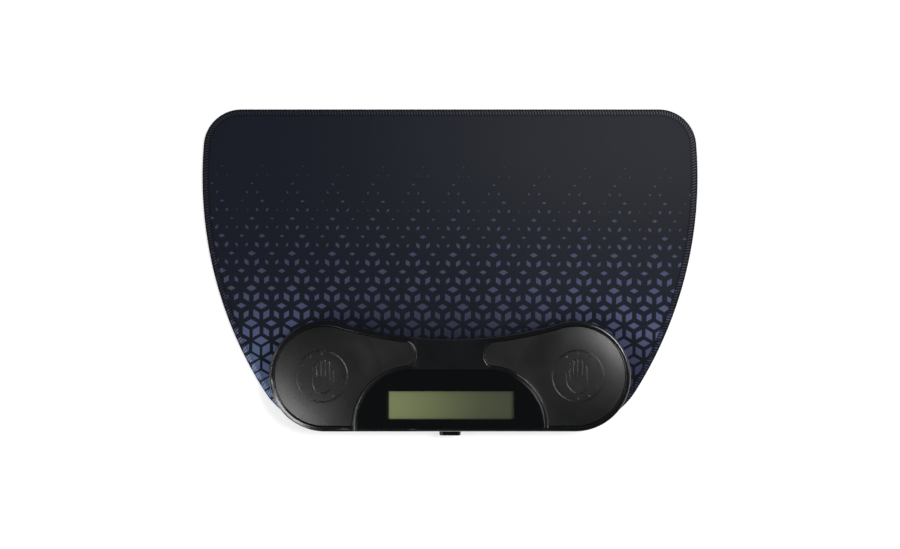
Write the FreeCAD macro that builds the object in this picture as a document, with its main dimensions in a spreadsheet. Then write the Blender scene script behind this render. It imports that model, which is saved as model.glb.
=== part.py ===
"""Speed cube timer with its mat: a parametric FreeCAD model, one object per sub-part.

Frame: millimetres, +Z up, origin at the middle of the mat's underside, +X to the right,
-Y towards the user, where the display and the button are.
"""
import FreeCAD, Part
import math
import os
import re

import Sketcher

doc = FreeCAD.newDocument("speed_cube_timer")
Vector = FreeCAD.Vector

# ---------------------------------------------------------------------------
# Driving dimensions, in millimetres (degrees for angles)
# ---------------------------------------------------------------------------

DIMENSIONS = {
    # mat
    "mat_half_width": 184.0,
    "mat_back": 118.3,
    "mat_front": 118.6,
    "mat_side_radius": 298.0,
    "mat_widest": 68.4,
    "mat_back_corner": 27.5,
    "mat_front_corner": 60.0,
    "mat_base_thickness": 2.4,
    "mat_fabric_thickness": 0.6,
    "stitch_width": 3.4,
    "stitch_wrap": 0.35,
    "stitch_depth": 0.4,
    # outline of the timer: two round lobes, a hollow waist behind and a straight front
    "lobe_x": 91.8,
    "front_overhang": 0.5,
    "lobe_radius": 40.5,
    "waist_rise": 27.1,
    # case
    "foot_height": 1.5,
    "case_wall": 2.2,
    "floor_thickness": 2.0,
    "bottom_shell_height": 4.6,
    "top_round": 1.8,
    "bottom_round": 1.5,
    "deck_thickness": 2.0,
    "rim_width": 3.7,
    "rim_rise": 2.6,
    "bead_round": 0.5,
    # touch pads
    "pad_thickness": 1.8,
    "pad_gap": 0.25,
    "pad_round": 0.35,
    "neck_tip": 25.0,
    "neck_back_corner": 9.0,
    "neck_front_corner": 8.0,
    "pad_corner": 1.2,
    "sensor_gap": 2.8,
    "sensor_thickness": 0.3,
    # display fascia, an arch between the pads
    "arch_x": 27.6,
    "arch_rise": 4.1,
    "arch_radius": 42.5,
    "bead_width": 2.6,
    "fascia_thickness": 2.2,
    "fascia_gap": 0.15,
    "fascia_front_rim": 2.5,
    "window_width": 93.5,
    "window_depth": 21.0,
    "window_gap": 0.1,
    "lens_flange_width": 2.0,
    "lens_flange_thickness": 1.2,
    "lens_sink": 0.2,
    # display glass, its frame and its connector strips
    "glass_border": 2.9,
    "glass_thickness": 2.8,
    "glass_gap": 0.2,
    "frame_wall": 1.2,
    "strip_width": 2.0,
    "strip_end_gap": 3.6,
    "strip_height": 2.6,
    # circuit board
    "board_thickness": 1.6,
    "board_edge": 4.0,
    "board_extra_depth": 1.2,
    "board_front_gap": 1.2,
    "board_boss_gap": 1.9,
    "board_screw_radius": 1.0,
    "board_screw_length": 5.0,
    "board_head_radius": 2.0,
    "board_head_height": 1.2,
    "board_boss_radius": 3.0,
    "chip_size": 12.0,
    "chip_height": 1.6,
    "crystal_length": 8.0,
    "crystal_width": 3.2,
    "capacitor_length": 3.2,
    "capacitor_width": 1.6,
    "capacitor_pitch": 6.0,
    # button on the front
    "button_width": 15.8,
    "button_height": 4.8,
    "button_reach": 3.9,
    "button_gap": 0.25,
    "button_round": 0.9,
    "button_flange": 1.5,
    "button_flange_thickness": 1.2,
    "button_stop_gap": 0.1,
    "button_travel": 1.0,
    "switch_width": 6.2,
    "switch_depth": 5.0,
    "switch_height": 3.6,
    "plunger_radius": 1.2,
    "plunger_length": 2.0,
    "plunger_gap": 0.1,
    # cells, their bay and its door
    "cell_radius": 5.25,
    "cell_length": 44.5,
    "cell_tip_radius": 1.9,
    "cell_tip_length": 0.8,
    "cell_gap": 0.3,
    "contact_thickness": 0.4,
    "contact_size": 8.0,
    "spring_space": 5.8,
    "spring_wire": 0.3,
    "spring_radius": 3.2,
    "spring_turns": 3.5,
    "bay_wall": 1.5,
    "bay_back_gap": 0.4,
    "bay_headroom": 0.5,
    "ledge_width": 2.0,
    "door_gap": 0.25,
    "door_play": 0.1,
    "door_flange_thickness": 1.1,
    "grip_length": 18.0,
    "grip_width": 1.2,
    "grip_depth": 0.5,
    "grip_pitch": 2.6,
    # case screws and rubber feet
    "screw_ring": 34.0,
    "screw_angle": 45.0,
    "waist_screw_x": 45.0,
    "waist_screw_y": 62.0,
    "screw_radius": 1.3,
    "screw_length": 10.0,
    "screw_head_radius": 2.6,
    "screw_head_height": 1.6,
    "screw_slot_width": 0.7,
    "screw_slot_depth": 0.8,
    "thread_gap": 0.05,
    "screw_clear": 0.3,
    "head_seat": 2.5,
    "top_boss_radius": 3.2,
    "bottom_boss_radius": 4.2,
    "foot_radius": 6.0,
    "foot_sink": 1.0,
    "foot_gap": 0.15,
    "foot_x": 98.0,
    "foot_spread": 25.0,
    # wires inside
    "wire_radius": 0.5,
    "lead_lap": 9.0,
}

# Levels and sizes that follow from the driving dimensions
DERIVED = {
    "mat_top": "mat_base_thickness + mat_fabric_thickness",
    "case_bottom": "mat_top + foot_height",
    "floor_top": "case_bottom + floor_thickness",
    "split_level": "case_bottom + bottom_shell_height",
    "rim_top": "bay_ceiling + bay_wall + bay_headroom + deck_thickness + rim_rise",
    "deck_top": "rim_top - rim_rise",
    "deck_bottom": "deck_top - deck_thickness",
    "lens_flange_bottom": "deck_top - lens_flange_thickness",
    "rim_round": "min(top_round; 0.75 * fascia_front_rim)",
    "rim_bead_round": "min(bead_round; 0.2 * fascia_front_rim)",
    "glass_width": "window_width + 2 * glass_border",
    "glass_depth": "window_depth + 2 * glass_border",
    "glass_top": "lens_flange_bottom - glass_gap",
    "glass_bottom": "glass_top - glass_thickness",
    "board_top": "glass_bottom - strip_height",
    "board_bottom": "board_top - board_thickness",
    "board_depth": "glass_depth + board_extra_depth",
    "board_y": "board_front_y + board_depth / 2",
    "board_screw_x": "glass_width / 2 + glass_gap + frame_wall + board_boss_gap + board_boss_radius",
    "board_length": "2 * (board_screw_x + board_edge)",
    "board_front_y": "flange_back_y + board_front_gap",
    "board_back_y": "board_front_y + board_depth",
    "sensor_room": "lobe_x - board_screw_x - board_boss_radius",
    "sensor_radius": "min(sensor_room; screw_ring - top_boss_radius) - sensor_gap",
    "front_y": "0 - mat_front - front_overhang",
    "lobe_y": "0 - front_y - lobe_radius",
    "arch_y": "front_y + arch_rise",
    "window_y": "board_front_y + (board_depth + board_extra_depth) / 2 - glass_gap",
    "waist_y": "waist_rise - lobe_y",
    "waist_radius": "(lobe_x ^ 2 + waist_rise ^ 2 - lobe_radius ^ 2) / (2 * (lobe_radius - waist_rise))",
    "waist_centre": "waist_y + waist_radius",
    "button_level": "board_bottom - switch_height / 2",
    "flange_front_y": "front_y + case_wall + button_stop_gap",
    "flange_back_y": "flange_front_y + button_flange_thickness",
    "switch_front_y": "flange_back_y + plunger_length",
    "door_inside": "floor_top + door_play + door_flange_thickness",
    "cell_level": "door_inside + cell_gap + cell_radius",
    "bay_ceiling": "cell_level + cell_radius + cell_gap",
    "bay_half_width": "(cell_length + spring_space) / 2 + contact_thickness",
    "bay_back_y": "waist_y - case_wall - bay_back_gap - bay_wall",
    "bay_depth": "4 * cell_radius + 3 * cell_gap",
    "bay_front_y": "bay_back_y - bay_depth",
    "door_half_width": "bay_half_width - ledge_width",
    "screw_x": "lobe_x + screw_ring * cos(screw_angle * 1 deg)",
    "screw_back_y": "screw_ring * sin(screw_angle * 1 deg) - lobe_y",
    "screw_front_y": "0 - lobe_y - screw_ring * sin(screw_angle * 1 deg)",
    "screw_seat": "case_bottom + head_seat",
}

sheet = doc.addObject("Spreadsheet::Sheet", "sheet")
for row, (name, number) in enumerate(DIMENSIONS.items(), start=1):
    sheet.set(f"A{row}", name.replace("_", " "))
    sheet.set(f"B{row}", str(number))
    sheet.setAlias(f"B{row}", name)
doc.recompute()


def formula(text):
    """Spell out derived words and point each dimension word at its cell in the sheet."""
    def spell(match):
        word = match.group(0)
        if word in DERIVED:
            return f"({formula(DERIVED[word])})"
        if word in DIMENSIONS:
            return f"sheet.{word}"
        return word
    return re.sub(r"[A-Za-z_]\w*", spell, str(text))


def value(text):
    """The number that an expression of dimension words gives now."""
    return float(sheet.evalExpression(formula(text).replace("sheet.", "")))


def bind(thing, name, text):
    """Bind one property of an object to an expression of dimension words."""
    thing.setExpression(name, formula(text))


# ---------------------------------------------------------------------------
# Part primitives and booleans
# ---------------------------------------------------------------------------

def place(thing, x, y, z):
    """Bind an object's position."""
    bind(thing, "Placement.Base.x", x)
    bind(thing, "Placement.Base.y", y)
    bind(thing, "Placement.Base.z", z)


def block(label, x, y, z, size):
    """A box with its middle at x, y and its underside at z; size is (width, depth, height)."""
    width, depth, height = size
    box = doc.addObject("Part::Box", label)
    bind(box, "Length", width)
    bind(box, "Width", depth)
    bind(box, "Height", height)
    place(box, f"{x} - ({width}) / 2", f"{y} - ({depth}) / 2", z)
    return box


TURNS = {
    "x": FreeCAD.Rotation(Vector(0, 1, 0), 90),
    "y": FreeCAD.Rotation(Vector(1, 0, 0), -90),
    "z": FreeCAD.Rotation(),
}


def rod(label, start, radius, length, along="z"):
    """A cylinder from the middle of its first face, start, in the positive direction of an axis."""
    cylinder = doc.addObject("Part::Cylinder", label)
    bind(cylinder, "Radius", radius)
    bind(cylinder, "Height", length)
    cylinder.Placement.Rotation = TURNS[along]
    place(cylinder, *start)
    return cylinder


def fuse(label, parts):
    """One solid from overlapping ones."""
    joined = doc.addObject("Part::MultiFuse", label)
    joined.Shapes = parts
    joined.Refine = True
    return joined


def cut(label, base, tools):
    """A base with one or more tools taken away."""
    result = doc.addObject("Part::Cut", label)
    result.Base = base
    result.Tool = tools[0] if len(tools) == 1 else fuse(f"{label}_tools", tools)
    result.Refine = True
    return result


def soften(label, base, radius, level):
    """Round every edge where an upright wall meets the flat top at one level."""
    doc.recompute()
    shape, flat, size = base.Shape, at_level(level), value(radius)
    rounds = []
    for number, edge in enumerate(shape.Edges, start=1):
        middle = edge.valueAt((edge.FirstParameter + edge.LastParameter) / 2)
        faces = shape.ancestorsOfType(edge, Part.Face) if flat(edge) else []
        if any(abs(face.normalAt(*face.Surface.parameter(middle)).z) < 1e-3 for face in faces):
            rounds.append((number, size, size))
    rounded = doc.addObject("Part::Fillet", label)
    rounded.Base = base
    rounded.Edges = rounds
    return rounded


def group(label, members):
    """Separate identical solids that share one sub-part."""
    together = doc.addObject("Part::Compound", label)
    together.Links = members
    return together


# ---------------------------------------------------------------------------
# Bodies, sketches and features
# ---------------------------------------------------------------------------

def new_body(label):
    """An empty PartDesign body."""
    return doc.addObject("PartDesign::Body", label)


def new_sketch(body, level, plane="XY_Plane"):
    """A sketch parallel to one of the body's origin planes, at a distance along its normal."""
    sketch = body.newObject("Sketcher::SketchObject", f"{body.Label}_sketch")
    origin_plane = next(item for item in body.Origin.OriginFeatures if item.Role == plane)
    sketch.AttachmentSupport = [(origin_plane, "")]
    sketch.MapMode = "FlatFace"
    bind(sketch, "AttachmentOffset.Base.z", level)
    return sketch


def pad(body, sketch, length):
    """Raise a sketch into a solid along its normal."""
    feature = body.newObject("PartDesign::Pad", f"{body.Label}_pad")
    feature.Profile = sketch
    bind(feature, "Length", length)
    body.Tip = feature
    doc.recompute()
    return feature


def pocket(body, sketch, depth, upward=False):
    """Sink a sketch into the solid, against its normal, or along it when upward is set."""
    before = body.Shape.Volume
    feature = body.newObject("PartDesign::Pocket", f"{body.Label}_pocket")
    feature.Profile = sketch
    feature.Reversed = upward
    bind(feature, "Length", depth)
    body.Tip = feature
    doc.recompute()
    if body.Shape.Volume >= before:
        raise ValueError(f"{feature.Label} cuts nothing")
    return feature


def round_edges(body, radius, chosen):
    """Fillet the edges of the body that a test picks."""
    base = body.Tip
    names = [f"Edge{number}" for number, edge in enumerate(base.Shape.Edges, start=1) if chosen(edge)]
    feature = body.newObject("PartDesign::Fillet", f"{body.Label}_fillet")
    feature.Base = (base, names)
    bind(feature, "Radius", radius)
    body.Tip = feature
    doc.recompute()
    return feature


def at_level(text):
    """A test for edges that lie flat at one level."""
    level = value(text)
    return lambda edge: abs(edge.BoundBox.ZMin - level) < 1e-4 and abs(edge.BoundBox.ZMax - level) < 1e-4


def upright_near(x, y, reach=1.0):
    """A test for upright edges close to one place."""
    spot = Vector(value(x), value(y), 0)

    def test(edge):
        middle = edge.BoundBox.Center
        slim = edge.BoundBox.XLength < 1e-4 and edge.BoundBox.YLength < 1e-4
        return slim and (Vector(middle.x, middle.y, 0) - spot).Length < reach
    return test


def fix(sketch, kind, geometry, point, text):
    """Hold one coordinate of a point, measured from the sketch's origin."""
    index = sketch.addConstraint(Sketcher.Constraint(kind, -1, 1, geometry, point, value(text)))
    bind(sketch, f"Constraints[{index}]", text)


def fix_radius(sketch, geometry, text):
    """Hold the radius of a circle or an arc."""
    index = sketch.addConstraint(Sketcher.Constraint("Radius", geometry, value(text)))
    bind(sketch, f"Constraints[{index}]", text)


def line(start, end):
    """A straight sketch edge between two (x, y) points."""
    return Part.LineSegment(Vector(*start, 0), Vector(*end, 0))


def arc(centre, radius, first, last):
    """A sketch arc, counter-clockwise between two angles in radians."""
    circle = Part.Circle(Vector(*centre, 0), Vector(0, 0, 1), radius)
    return Part.ArcOfCircle(circle, first, last)


def join_smoothly(sketch, pairs):
    """Join sketch edges end to end, tangent to each other."""
    for first, first_end, second, second_end in pairs:
        sketch.addConstraint(Sketcher.Constraint("Tangent", first, first_end, second, second_end))


def draw_disc(sketch, x, y, radius):
    """A circle; x may be 0, which holds its centre on the sketch's upright axis."""
    circle = Part.Circle(Vector(value(x), value(y), 0), Vector(0, 0, 1), value(radius))
    index = sketch.addGeometry(circle, False)
    if str(x) == "0":
        sketch.addConstraint(Sketcher.Constraint("PointOnObject", index, 3, -2))
    else:
        fix(sketch, "DistanceX", index, 3, x)
    fix(sketch, "DistanceY", index, 3, y)
    fix_radius(sketch, index, radius)


def draw_rectangle(sketch, left, right, front, back):
    """An upright rectangle between two x values and two y values."""
    x0, x1, y0, y1 = value(left), value(right), value(front), value(back)
    corners = [(x0, y0), (x1, y0), (x1, y1), (x0, y1)]
    first = sketch.GeometryCount
    for number in range(4):
        sketch.addGeometry(line(corners[number], corners[(number + 1) % 4]), False)
    for number in range(4):
        after = first + (number + 1) % 4
        sketch.addConstraint(Sketcher.Constraint("Coincident", first + number, 2, after, 1))
        kind = "Horizontal" if number % 2 == 0 else "Vertical"
        sketch.addConstraint(Sketcher.Constraint(kind, first + number))
    fix(sketch, "DistanceX", first, 1, left)
    fix(sketch, "DistanceY", first, 1, front)
    fix(sketch, "DistanceX", first + 2, 1, right)
    fix(sketch, "DistanceY", first + 2, 1, back)


def draw_timer_outline(sketch, inset):
    """The timer's plan: two lobes joined by a hollow waist behind and a straight front edge."""
    lobe_x, lobe_y = value("lobe_x"), -value("lobe_y")
    lobe = value(f"lobe_radius - ({inset})")
    waist = value(f"waist_radius + ({inset})")
    waist_centre = value("waist_centre")
    tangent = math.atan2(waist_centre - lobe_y, lobe_x)
    front = lobe_y - lobe
    left = sketch.addGeometry(arc((-lobe_x, lobe_y), lobe, tangent, 1.5 * math.pi), False)
    back = sketch.addGeometry(arc((0, waist_centre), waist, math.pi + tangent, -tangent), False)
    right = sketch.addGeometry(arc((lobe_x, lobe_y), lobe, -math.pi / 2, math.pi - tangent), False)
    straight = sketch.addGeometry(line((-lobe_x, front), (lobe_x, front)), False)
    join_smoothly(sketch, [(left, 1, back, 1), (back, 2, right, 2),
                           (right, 1, straight, 2), (left, 2, straight, 1)])
    for lobe_arc, side in ((left, "-1"), (right, "1")):
        fix(sketch, "DistanceX", lobe_arc, 3, f"{side} * lobe_x")
        fix(sketch, "DistanceY", lobe_arc, 3, "0 - lobe_y")
        fix_radius(sketch, lobe_arc, f"lobe_radius - ({inset})")
    fix_radius(sketch, back, f"waist_radius + ({inset})")


def draw_arch(sketch, radius, front):
    """The display arch: two quarter rounds, a straight top and sides that run down to the front."""
    arch_x, arch_y, reach = value("arch_x"), value("arch_y"), value(radius)
    side, low = arch_x + reach, value(front)
    left = sketch.addGeometry(arc((-arch_x, arch_y), reach, math.pi / 2, math.pi), False)
    right = sketch.addGeometry(arc((arch_x, arch_y), reach, 0, math.pi / 2), False)
    top = sketch.addGeometry(line((-arch_x, arch_y + reach), (arch_x, arch_y + reach)), False)
    left_side = sketch.addGeometry(line((-side, arch_y), (-side, low)), False)
    right_side = sketch.addGeometry(line((side, arch_y), (side, low)), False)
    bottom = sketch.addGeometry(line((-side, low), (side, low)), False)
    join_smoothly(sketch, [(left, 1, top, 1), (right, 2, top, 2),
                           (left, 2, left_side, 1), (right, 1, right_side, 1)])
    sketch.addConstraint(Sketcher.Constraint("Coincident", left_side, 2, bottom, 1))
    sketch.addConstraint(Sketcher.Constraint("Coincident", right_side, 2, bottom, 2))
    sketch.addConstraint(Sketcher.Constraint("Vertical", left_side))
    sketch.addConstraint(Sketcher.Constraint("Vertical", right_side))
    sketch.addConstraint(Sketcher.Constraint("Horizontal", bottom))
    for quarter, sign in ((left, "-1"), (right, "1")):
        fix(sketch, "DistanceX", quarter, 3, f"{sign} * arch_x")
        fix(sketch, "DistanceY", quarter, 3, "arch_y")
        fix_radius(sketch, quarter, radius)
    fix(sketch, "DistanceY", bottom, 1, front)


def draw_mat_outline(sketch, inset):
    """The mat's plan: bowed sides that close towards the front, and four round corners."""
    shrink = value(inset)
    side = value("mat_side_radius")
    side_x, side_y = value("mat_half_width") - side, value("mat_widest")
    edges = {"back": value("mat_back"), "front": -value("mat_front")}
    radii = {"back": value("mat_back_corner"), "front": value("mat_front_corner")}
    centres, angles = {}, {}
    for end, sign in (("back", -1), ("front", 1)):
        corner_y = edges[end] + sign * radii[end]
        reach = side - radii[end]
        corner_x = side_x + math.sqrt(reach ** 2 - (corner_y - side_y) ** 2)
        centres[end] = (corner_x, corner_y)
        angles[end] = math.atan2(corner_y - side_y, corner_x - side_x)
    back, front = angles["back"], angles["front"]
    (back_x, back_y), (front_x, front_y) = centres["back"], centres["front"]
    back_round, front_round = radii["back"] - shrink, radii["front"] - shrink
    back_edge, front_edge = edges["back"] - shrink, edges["front"] + shrink
    turn = math.pi
    outline = [
        arc((side_x, side_y), side - shrink, front, back),
        arc((back_x, back_y), back_round, back, turn / 2),
        line((back_x, back_edge), (-back_x, back_edge)),
        arc((-back_x, back_y), back_round, turn / 2, turn - back),
        arc((-side_x, side_y), side - shrink, turn - back, turn - front),
        arc((-front_x, front_y), front_round, turn - front, 1.5 * turn),
        line((-front_x, front_edge), (front_x, front_edge)),
        arc((front_x, front_y), front_round, 1.5 * turn, 2 * turn + front),
    ]
    for edge in outline:
        sketch.addGeometry(edge, False)
    count = len(outline)
    join_smoothly(sketch, [(number, 2, (number + 1) % count, 1) for number in range(count)])
    for number, sign in ((0, "1"), (4, "-1")):
        fix(sketch, "DistanceX", number, 3, f"{sign} * (mat_half_width - mat_side_radius)")
        fix(sketch, "DistanceY", number, 3, "mat_widest")
        fix_radius(sketch, number, f"mat_side_radius - ({inset})")
    for number, corner in ((1, "back"), (3, "back"), (5, "front"), (7, "front")):
        fix_radius(sketch, number, f"mat_{corner}_corner - ({inset})")
    for number in (2, 6):
        sketch.addConstraint(Sketcher.Constraint("Horizontal", number))
    fix(sketch, "DistanceY", 2, 1, f"mat_back - ({inset})")
    fix(sketch, "DistanceY", 6, 1, f"({inset}) - mat_front")


def plate(label, draw, low, high, *size):
    """A body padded between two levels from one drawn outline."""
    body = new_body(label)
    sketch = new_sketch(body, low)
    draw(sketch, *size)
    pad(body, sketch, f"{high} - ({low})")
    return body


# ---------------------------------------------------------------------------
# Mat: foam rubber base, printed cloth and an overlocked edge
# ---------------------------------------------------------------------------

def make_mat():
    """The three layers of the mat, nested face to face."""
    base = plate("mat_base", draw_mat_outline, "0", "mat_base_thickness", "stitch_width")
    brim = new_sketch(base, "stitch_wrap")
    draw_mat_outline(brim, "stitch_depth")
    pad(base, brim, "mat_base_thickness - stitch_wrap")

    plate("mat_fabric", draw_mat_outline, "mat_base_thickness", "mat_top", "stitch_depth")

    edging = plate("mat_edge_stitching", draw_mat_outline, "0", "mat_top + stitch_wrap", "0")
    inner = new_sketch(edging, "0")
    draw_mat_outline(inner, "stitch_width")
    pocket(edging, inner, "mat_top + stitch_wrap", upward=True)
    groove = new_sketch(edging, "stitch_wrap")
    draw_mat_outline(groove, "stitch_depth")
    pocket(edging, groove, "mat_top - stitch_wrap", upward=True)


# ---------------------------------------------------------------------------
# Screws and feet
# ---------------------------------------------------------------------------

CASE_SCREWS = [
    (f"{side} * {x}", y)
    for side in ("-1", "1")
    for x, y in (("screw_x", "screw_back_y"), ("screw_x", "screw_front_y"),
                 ("waist_screw_x", "0 - waist_screw_y"))
]
BOARD_SCREWS = [
    (f"{side} * board_screw_x", y)
    for side in ("-1", "1")
    for y in ("board_front_y + board_edge", "board_back_y - board_edge")
]
FEET = [
    (f"{side} * foot_x", f"{way} * foot_spread - lobe_y")
    for side in ("-1", "1")
    for way in ("-1", "1")
]


def make_screw(label, x, y, seat, sizes):
    """A pan head screw driven from below: shank up from its seat, cross recess in the head."""
    radius, length, head_radius, head_height = sizes
    shank = rod(f"{label}_shank", (x, y, seat), radius, length)
    head = rod(f"{label}_head", (x, y, f"{seat} - ({head_height})"), head_radius, head_height)
    solid = fuse(f"{label}_solid", [shank, head])
    low = f"{seat} - ({head_height})"
    arm = f"1.3 * ({head_radius})"
    slots = [
        block(f"{label}_slot_x", x, y, low, (arm, "screw_slot_width", "screw_slot_depth")),
        block(f"{label}_slot_y", x, y, low, ("screw_slot_width", arm, "screw_slot_depth")),
    ]
    return cut(label, solid, slots)


def make_fasteners():
    """Case screws, board screws and the rubber feet."""
    case_sizes = ("screw_radius", "screw_length", "screw_head_radius", "screw_head_height")
    board_sizes = ("board_screw_radius", "board_screw_length", "board_head_radius", "board_head_height")
    group("case_screws", [
        make_screw(f"case_screw_{number}", x, y, "screw_seat", case_sizes)
        for number, (x, y) in enumerate(CASE_SCREWS, start=1)
    ])
    group("board_screws", [
        make_screw(f"board_screw_{number}", x, y, "board_bottom", board_sizes)
        for number, (x, y) in enumerate(BOARD_SCREWS, start=1)
    ])
    group("rubber_feet", [
        rod(f"rubber_foot_{number}", (x, y, "mat_top"), "foot_radius", "foot_height + foot_sink")
        for number, (x, y) in enumerate(FEET, start=1)
    ])


# ---------------------------------------------------------------------------
# Case
# ---------------------------------------------------------------------------

def make_pad_panel(label, side, gap, high):
    """One pad's shape: a lobe with a neck that reaches along the waist, clear of the arch."""
    edge_inset = f"(rim_width + {gap})"
    arch_reach = f"(arch_radius + bead_width / 2 + {gap})"
    tip = f"(neck_tip + {gap})"
    body = plate(label, draw_timer_outline, "deck_top", high, edge_inset)
    tall = f"{high} - deck_top + 1"
    arch = new_sketch(body, "deck_top")
    draw_arch(arch, arch_reach, "2 * front_y")
    pocket(body, arch, tall, upward=True)
    rest = new_sketch(body, "deck_top")
    far = "3 * lobe_x"
    left, right = (f"0 - {tip}", far) if side < 0 else (f"0 - {far}", tip)
    draw_rectangle(rest, left, right, "3 * front_y", "lobe_x")
    pocket(body, rest, tall, upward=True)

    neck_x = f"{side} * {tip}"
    neck_back_y = f"waist_centre - sqrt((waist_radius + {edge_inset}) ^ 2 - {tip} ^ 2)"
    neck_front_y = f"arch_y + sqrt({arch_reach} ^ 2 - max(0; {tip} - arch_x) ^ 2)"
    neck_depth = f"({neck_back_y} - ({neck_front_y}))"
    front_x = f"{side} * (arch_x + {arch_reach})"
    back_round = f"min(neck_back_corner; 0.5 * {neck_depth})"
    front_round = f"min(neck_front_corner; 0.42 * {neck_depth})"
    round_edges(body, back_round, upright_near(neck_x, neck_back_y))
    round_edges(body, front_round, upright_near(neck_x, neck_front_y))
    round_edges(body, "pad_corner", upright_near(front_x, f"front_y + {edge_inset}"))
    return body


def make_touch_pads():
    """The two matte touch pads, each with a softened upper edge."""
    for label, side in (("left_touch_pad", -1), ("right_touch_pad", 1)):
        body = make_pad_panel(label, side, "pad_gap", "deck_top + pad_thickness")
        round_edges(body, "pad_round", at_level("deck_top + pad_thickness"))


def make_top_shell():
    """Upper case: rim, deck, walls and bosses, with recesses for the pads and the fascia."""
    blank = plate("top_shell_blank", draw_timer_outline, "split_level", "rim_top", "0")
    round_edges(blank, "rim_round", at_level("rim_top"))
    inside = new_sketch(blank, "split_level")
    draw_timer_outline(inside, "case_wall")
    pocket(blank, inside, "deck_bottom - split_level", upward=True)
    hollow = new_sketch(blank, "rim_top")
    draw_arch(hollow, "arch_radius - bead_width / 2", "front_y + fascia_front_rim")
    pocket(blank, hollow, "rim_rise")

    bosses = [
        rod(f"top_boss_{number}", (x, y, "split_level"), "top_boss_radius",
            "deck_bottom + deck_thickness / 2 - split_level")
        for number, (x, y) in enumerate(CASE_SCREWS, start=1)
    ]
    bosses += [
        rod(f"board_boss_{number}", (x, y, "board_top"), "board_boss_radius",
            "deck_bottom + deck_thickness / 2 - board_top")
        for number, (x, y) in enumerate(BOARD_SCREWS, start=1)
    ]
    pilots = [
        rod(f"top_pilot_{number}", (x, y, "split_level - 1"), "screw_radius + thread_gap",
            "screw_seat + screw_length + 2 - split_level")
        for number, (x, y) in enumerate(CASE_SCREWS, start=1)
    ]
    pilots += [
        rod(f"board_pilot_{number}", (x, y, "board_top - 1"), "board_screw_radius + thread_gap",
            "board_screw_length - board_thickness + 1.5")
        for number, (x, y) in enumerate(BOARD_SCREWS, start=1)
    ]
    recesses = [
        make_pad_panel("left_recess", -1, "0", "rim_top + 1"),
        make_pad_panel("right_recess", 1, "0", "rim_top + 1"),
    ]
    opening = block("display_opening", "0", "window_y", "deck_bottom - 1",
                    ("glass_width + 2 * glass_gap", "glass_depth + 2 * glass_gap", "deck_thickness + 2"))
    sharp = cut("top_shell_sharp", fuse("top_shell_solid", [blank] + bosses),
                recesses + pilots + [opening, make_button_slot()])
    soften("top_shell", sharp, "rim_bead_round", "rim_top")


def make_bottom_shell():
    """Lower case: floor, walls, screw bosses, foot recesses and the battery bay."""
    tray = plate("bottom_shell_blank", draw_timer_outline, "case_bottom", "split_level", "0")
    round_edges(tray, "bottom_round", at_level("case_bottom"))
    inside = new_sketch(tray, "split_level")
    draw_timer_outline(inside, "case_wall")
    pocket(tray, inside, "split_level - floor_top")

    bay_y = "bay_front_y + bay_depth / 2"
    bay_width = "2 * bay_half_width"
    bay_outside = block("bay_outside", "0", bay_y, "case_bottom",
                        (f"{bay_width} + 2 * bay_wall", "bay_depth + 2 * bay_wall",
                         "bay_ceiling + bay_wall - case_bottom"))
    bosses = [
        rod(f"bottom_boss_{number}", (x, y, "floor_top - floor_thickness / 2"), "bottom_boss_radius",
            "split_level - floor_top + floor_thickness / 2")
        for number, (x, y) in enumerate(CASE_SCREWS, start=1)
    ]
    bay_inside = block("bay_inside", "0", bay_y, "floor_top",
                       (bay_width, "bay_depth", "bay_ceiling - floor_top"))
    channel_back = "waist_y + lobe_radius"
    channel_depth = f"{channel_back} - bay_front_y"
    channel = block("door_channel", "0", f"bay_front_y + ({channel_depth}) / 2", "floor_top",
                    (bay_width, channel_depth, "door_play + door_flange_thickness + door_play"))
    mouth = block("door_mouth", "0", f"bay_front_y + ({channel_depth}) / 2", "case_bottom - 1",
                  ("2 * door_half_width", channel_depth, "floor_thickness + 2"))
    clearances, seats = [], []
    for number, (x, y) in enumerate(CASE_SCREWS, start=1):
        clearances.append(rod(f"screw_hole_{number}", (x, y, "case_bottom - 1"),
                              "screw_radius + screw_clear", "bottom_shell_height + 2"))
        seats.append(rod(f"screw_seat_{number}", (x, y, "case_bottom - 1"),
                         "screw_head_radius + screw_clear", "head_seat + 1"))
    sockets = [
        rod(f"foot_socket_{number}", (x, y, "case_bottom - 1"), "foot_radius + foot_gap", "foot_sink + 1")
        for number, (x, y) in enumerate(FEET, start=1)
    ]
    cut("bottom_shell", fuse("bottom_shell_solid", [tray, bay_outside] + bosses),
        [bay_inside, channel, mouth] + clearances + seats + sockets)


def make_battery_door():
    """Sliding door: a plate flush with the floor, and side tongues that run above the ledges."""
    front = "bay_front_y + door_gap"
    outside = "waist_y + lobe_radius"
    body = plate("battery_door", draw_rectangle, "case_bottom", "floor_top + door_play",
                 "door_gap - door_half_width", "door_half_width - door_gap", front, outside)
    tongue = new_sketch(body, "floor_top + door_play")
    draw_rectangle(tongue, "door_gap - bay_half_width", "bay_half_width - door_gap", front, outside)
    pad(body, tongue, "door_flange_thickness")
    back = new_sketch(body, "case_bottom")
    draw_disc(back, "0", "waist_centre", "waist_radius")
    pocket(body, back, "door_inside - case_bottom", upward=True)
    back_reach = value("waist_y") - 1e-3
    low = at_level("case_bottom")
    round_edges(body, "bottom_round", lambda edge: low(edge) and edge.BoundBox.YMin > back_reach)
    grip = new_sketch(body, "case_bottom")
    for number in range(3):
        middle = f"bay_back_y - {number + 1} * grip_pitch"
        draw_rectangle(grip, "0 - grip_length / 2", "grip_length / 2",
                       f"{middle} - grip_width / 2", f"{middle} + grip_width / 2")
    pocket(body, grip, "grip_depth", upward=True)


# ---------------------------------------------------------------------------
# Button on the front
# ---------------------------------------------------------------------------

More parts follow.
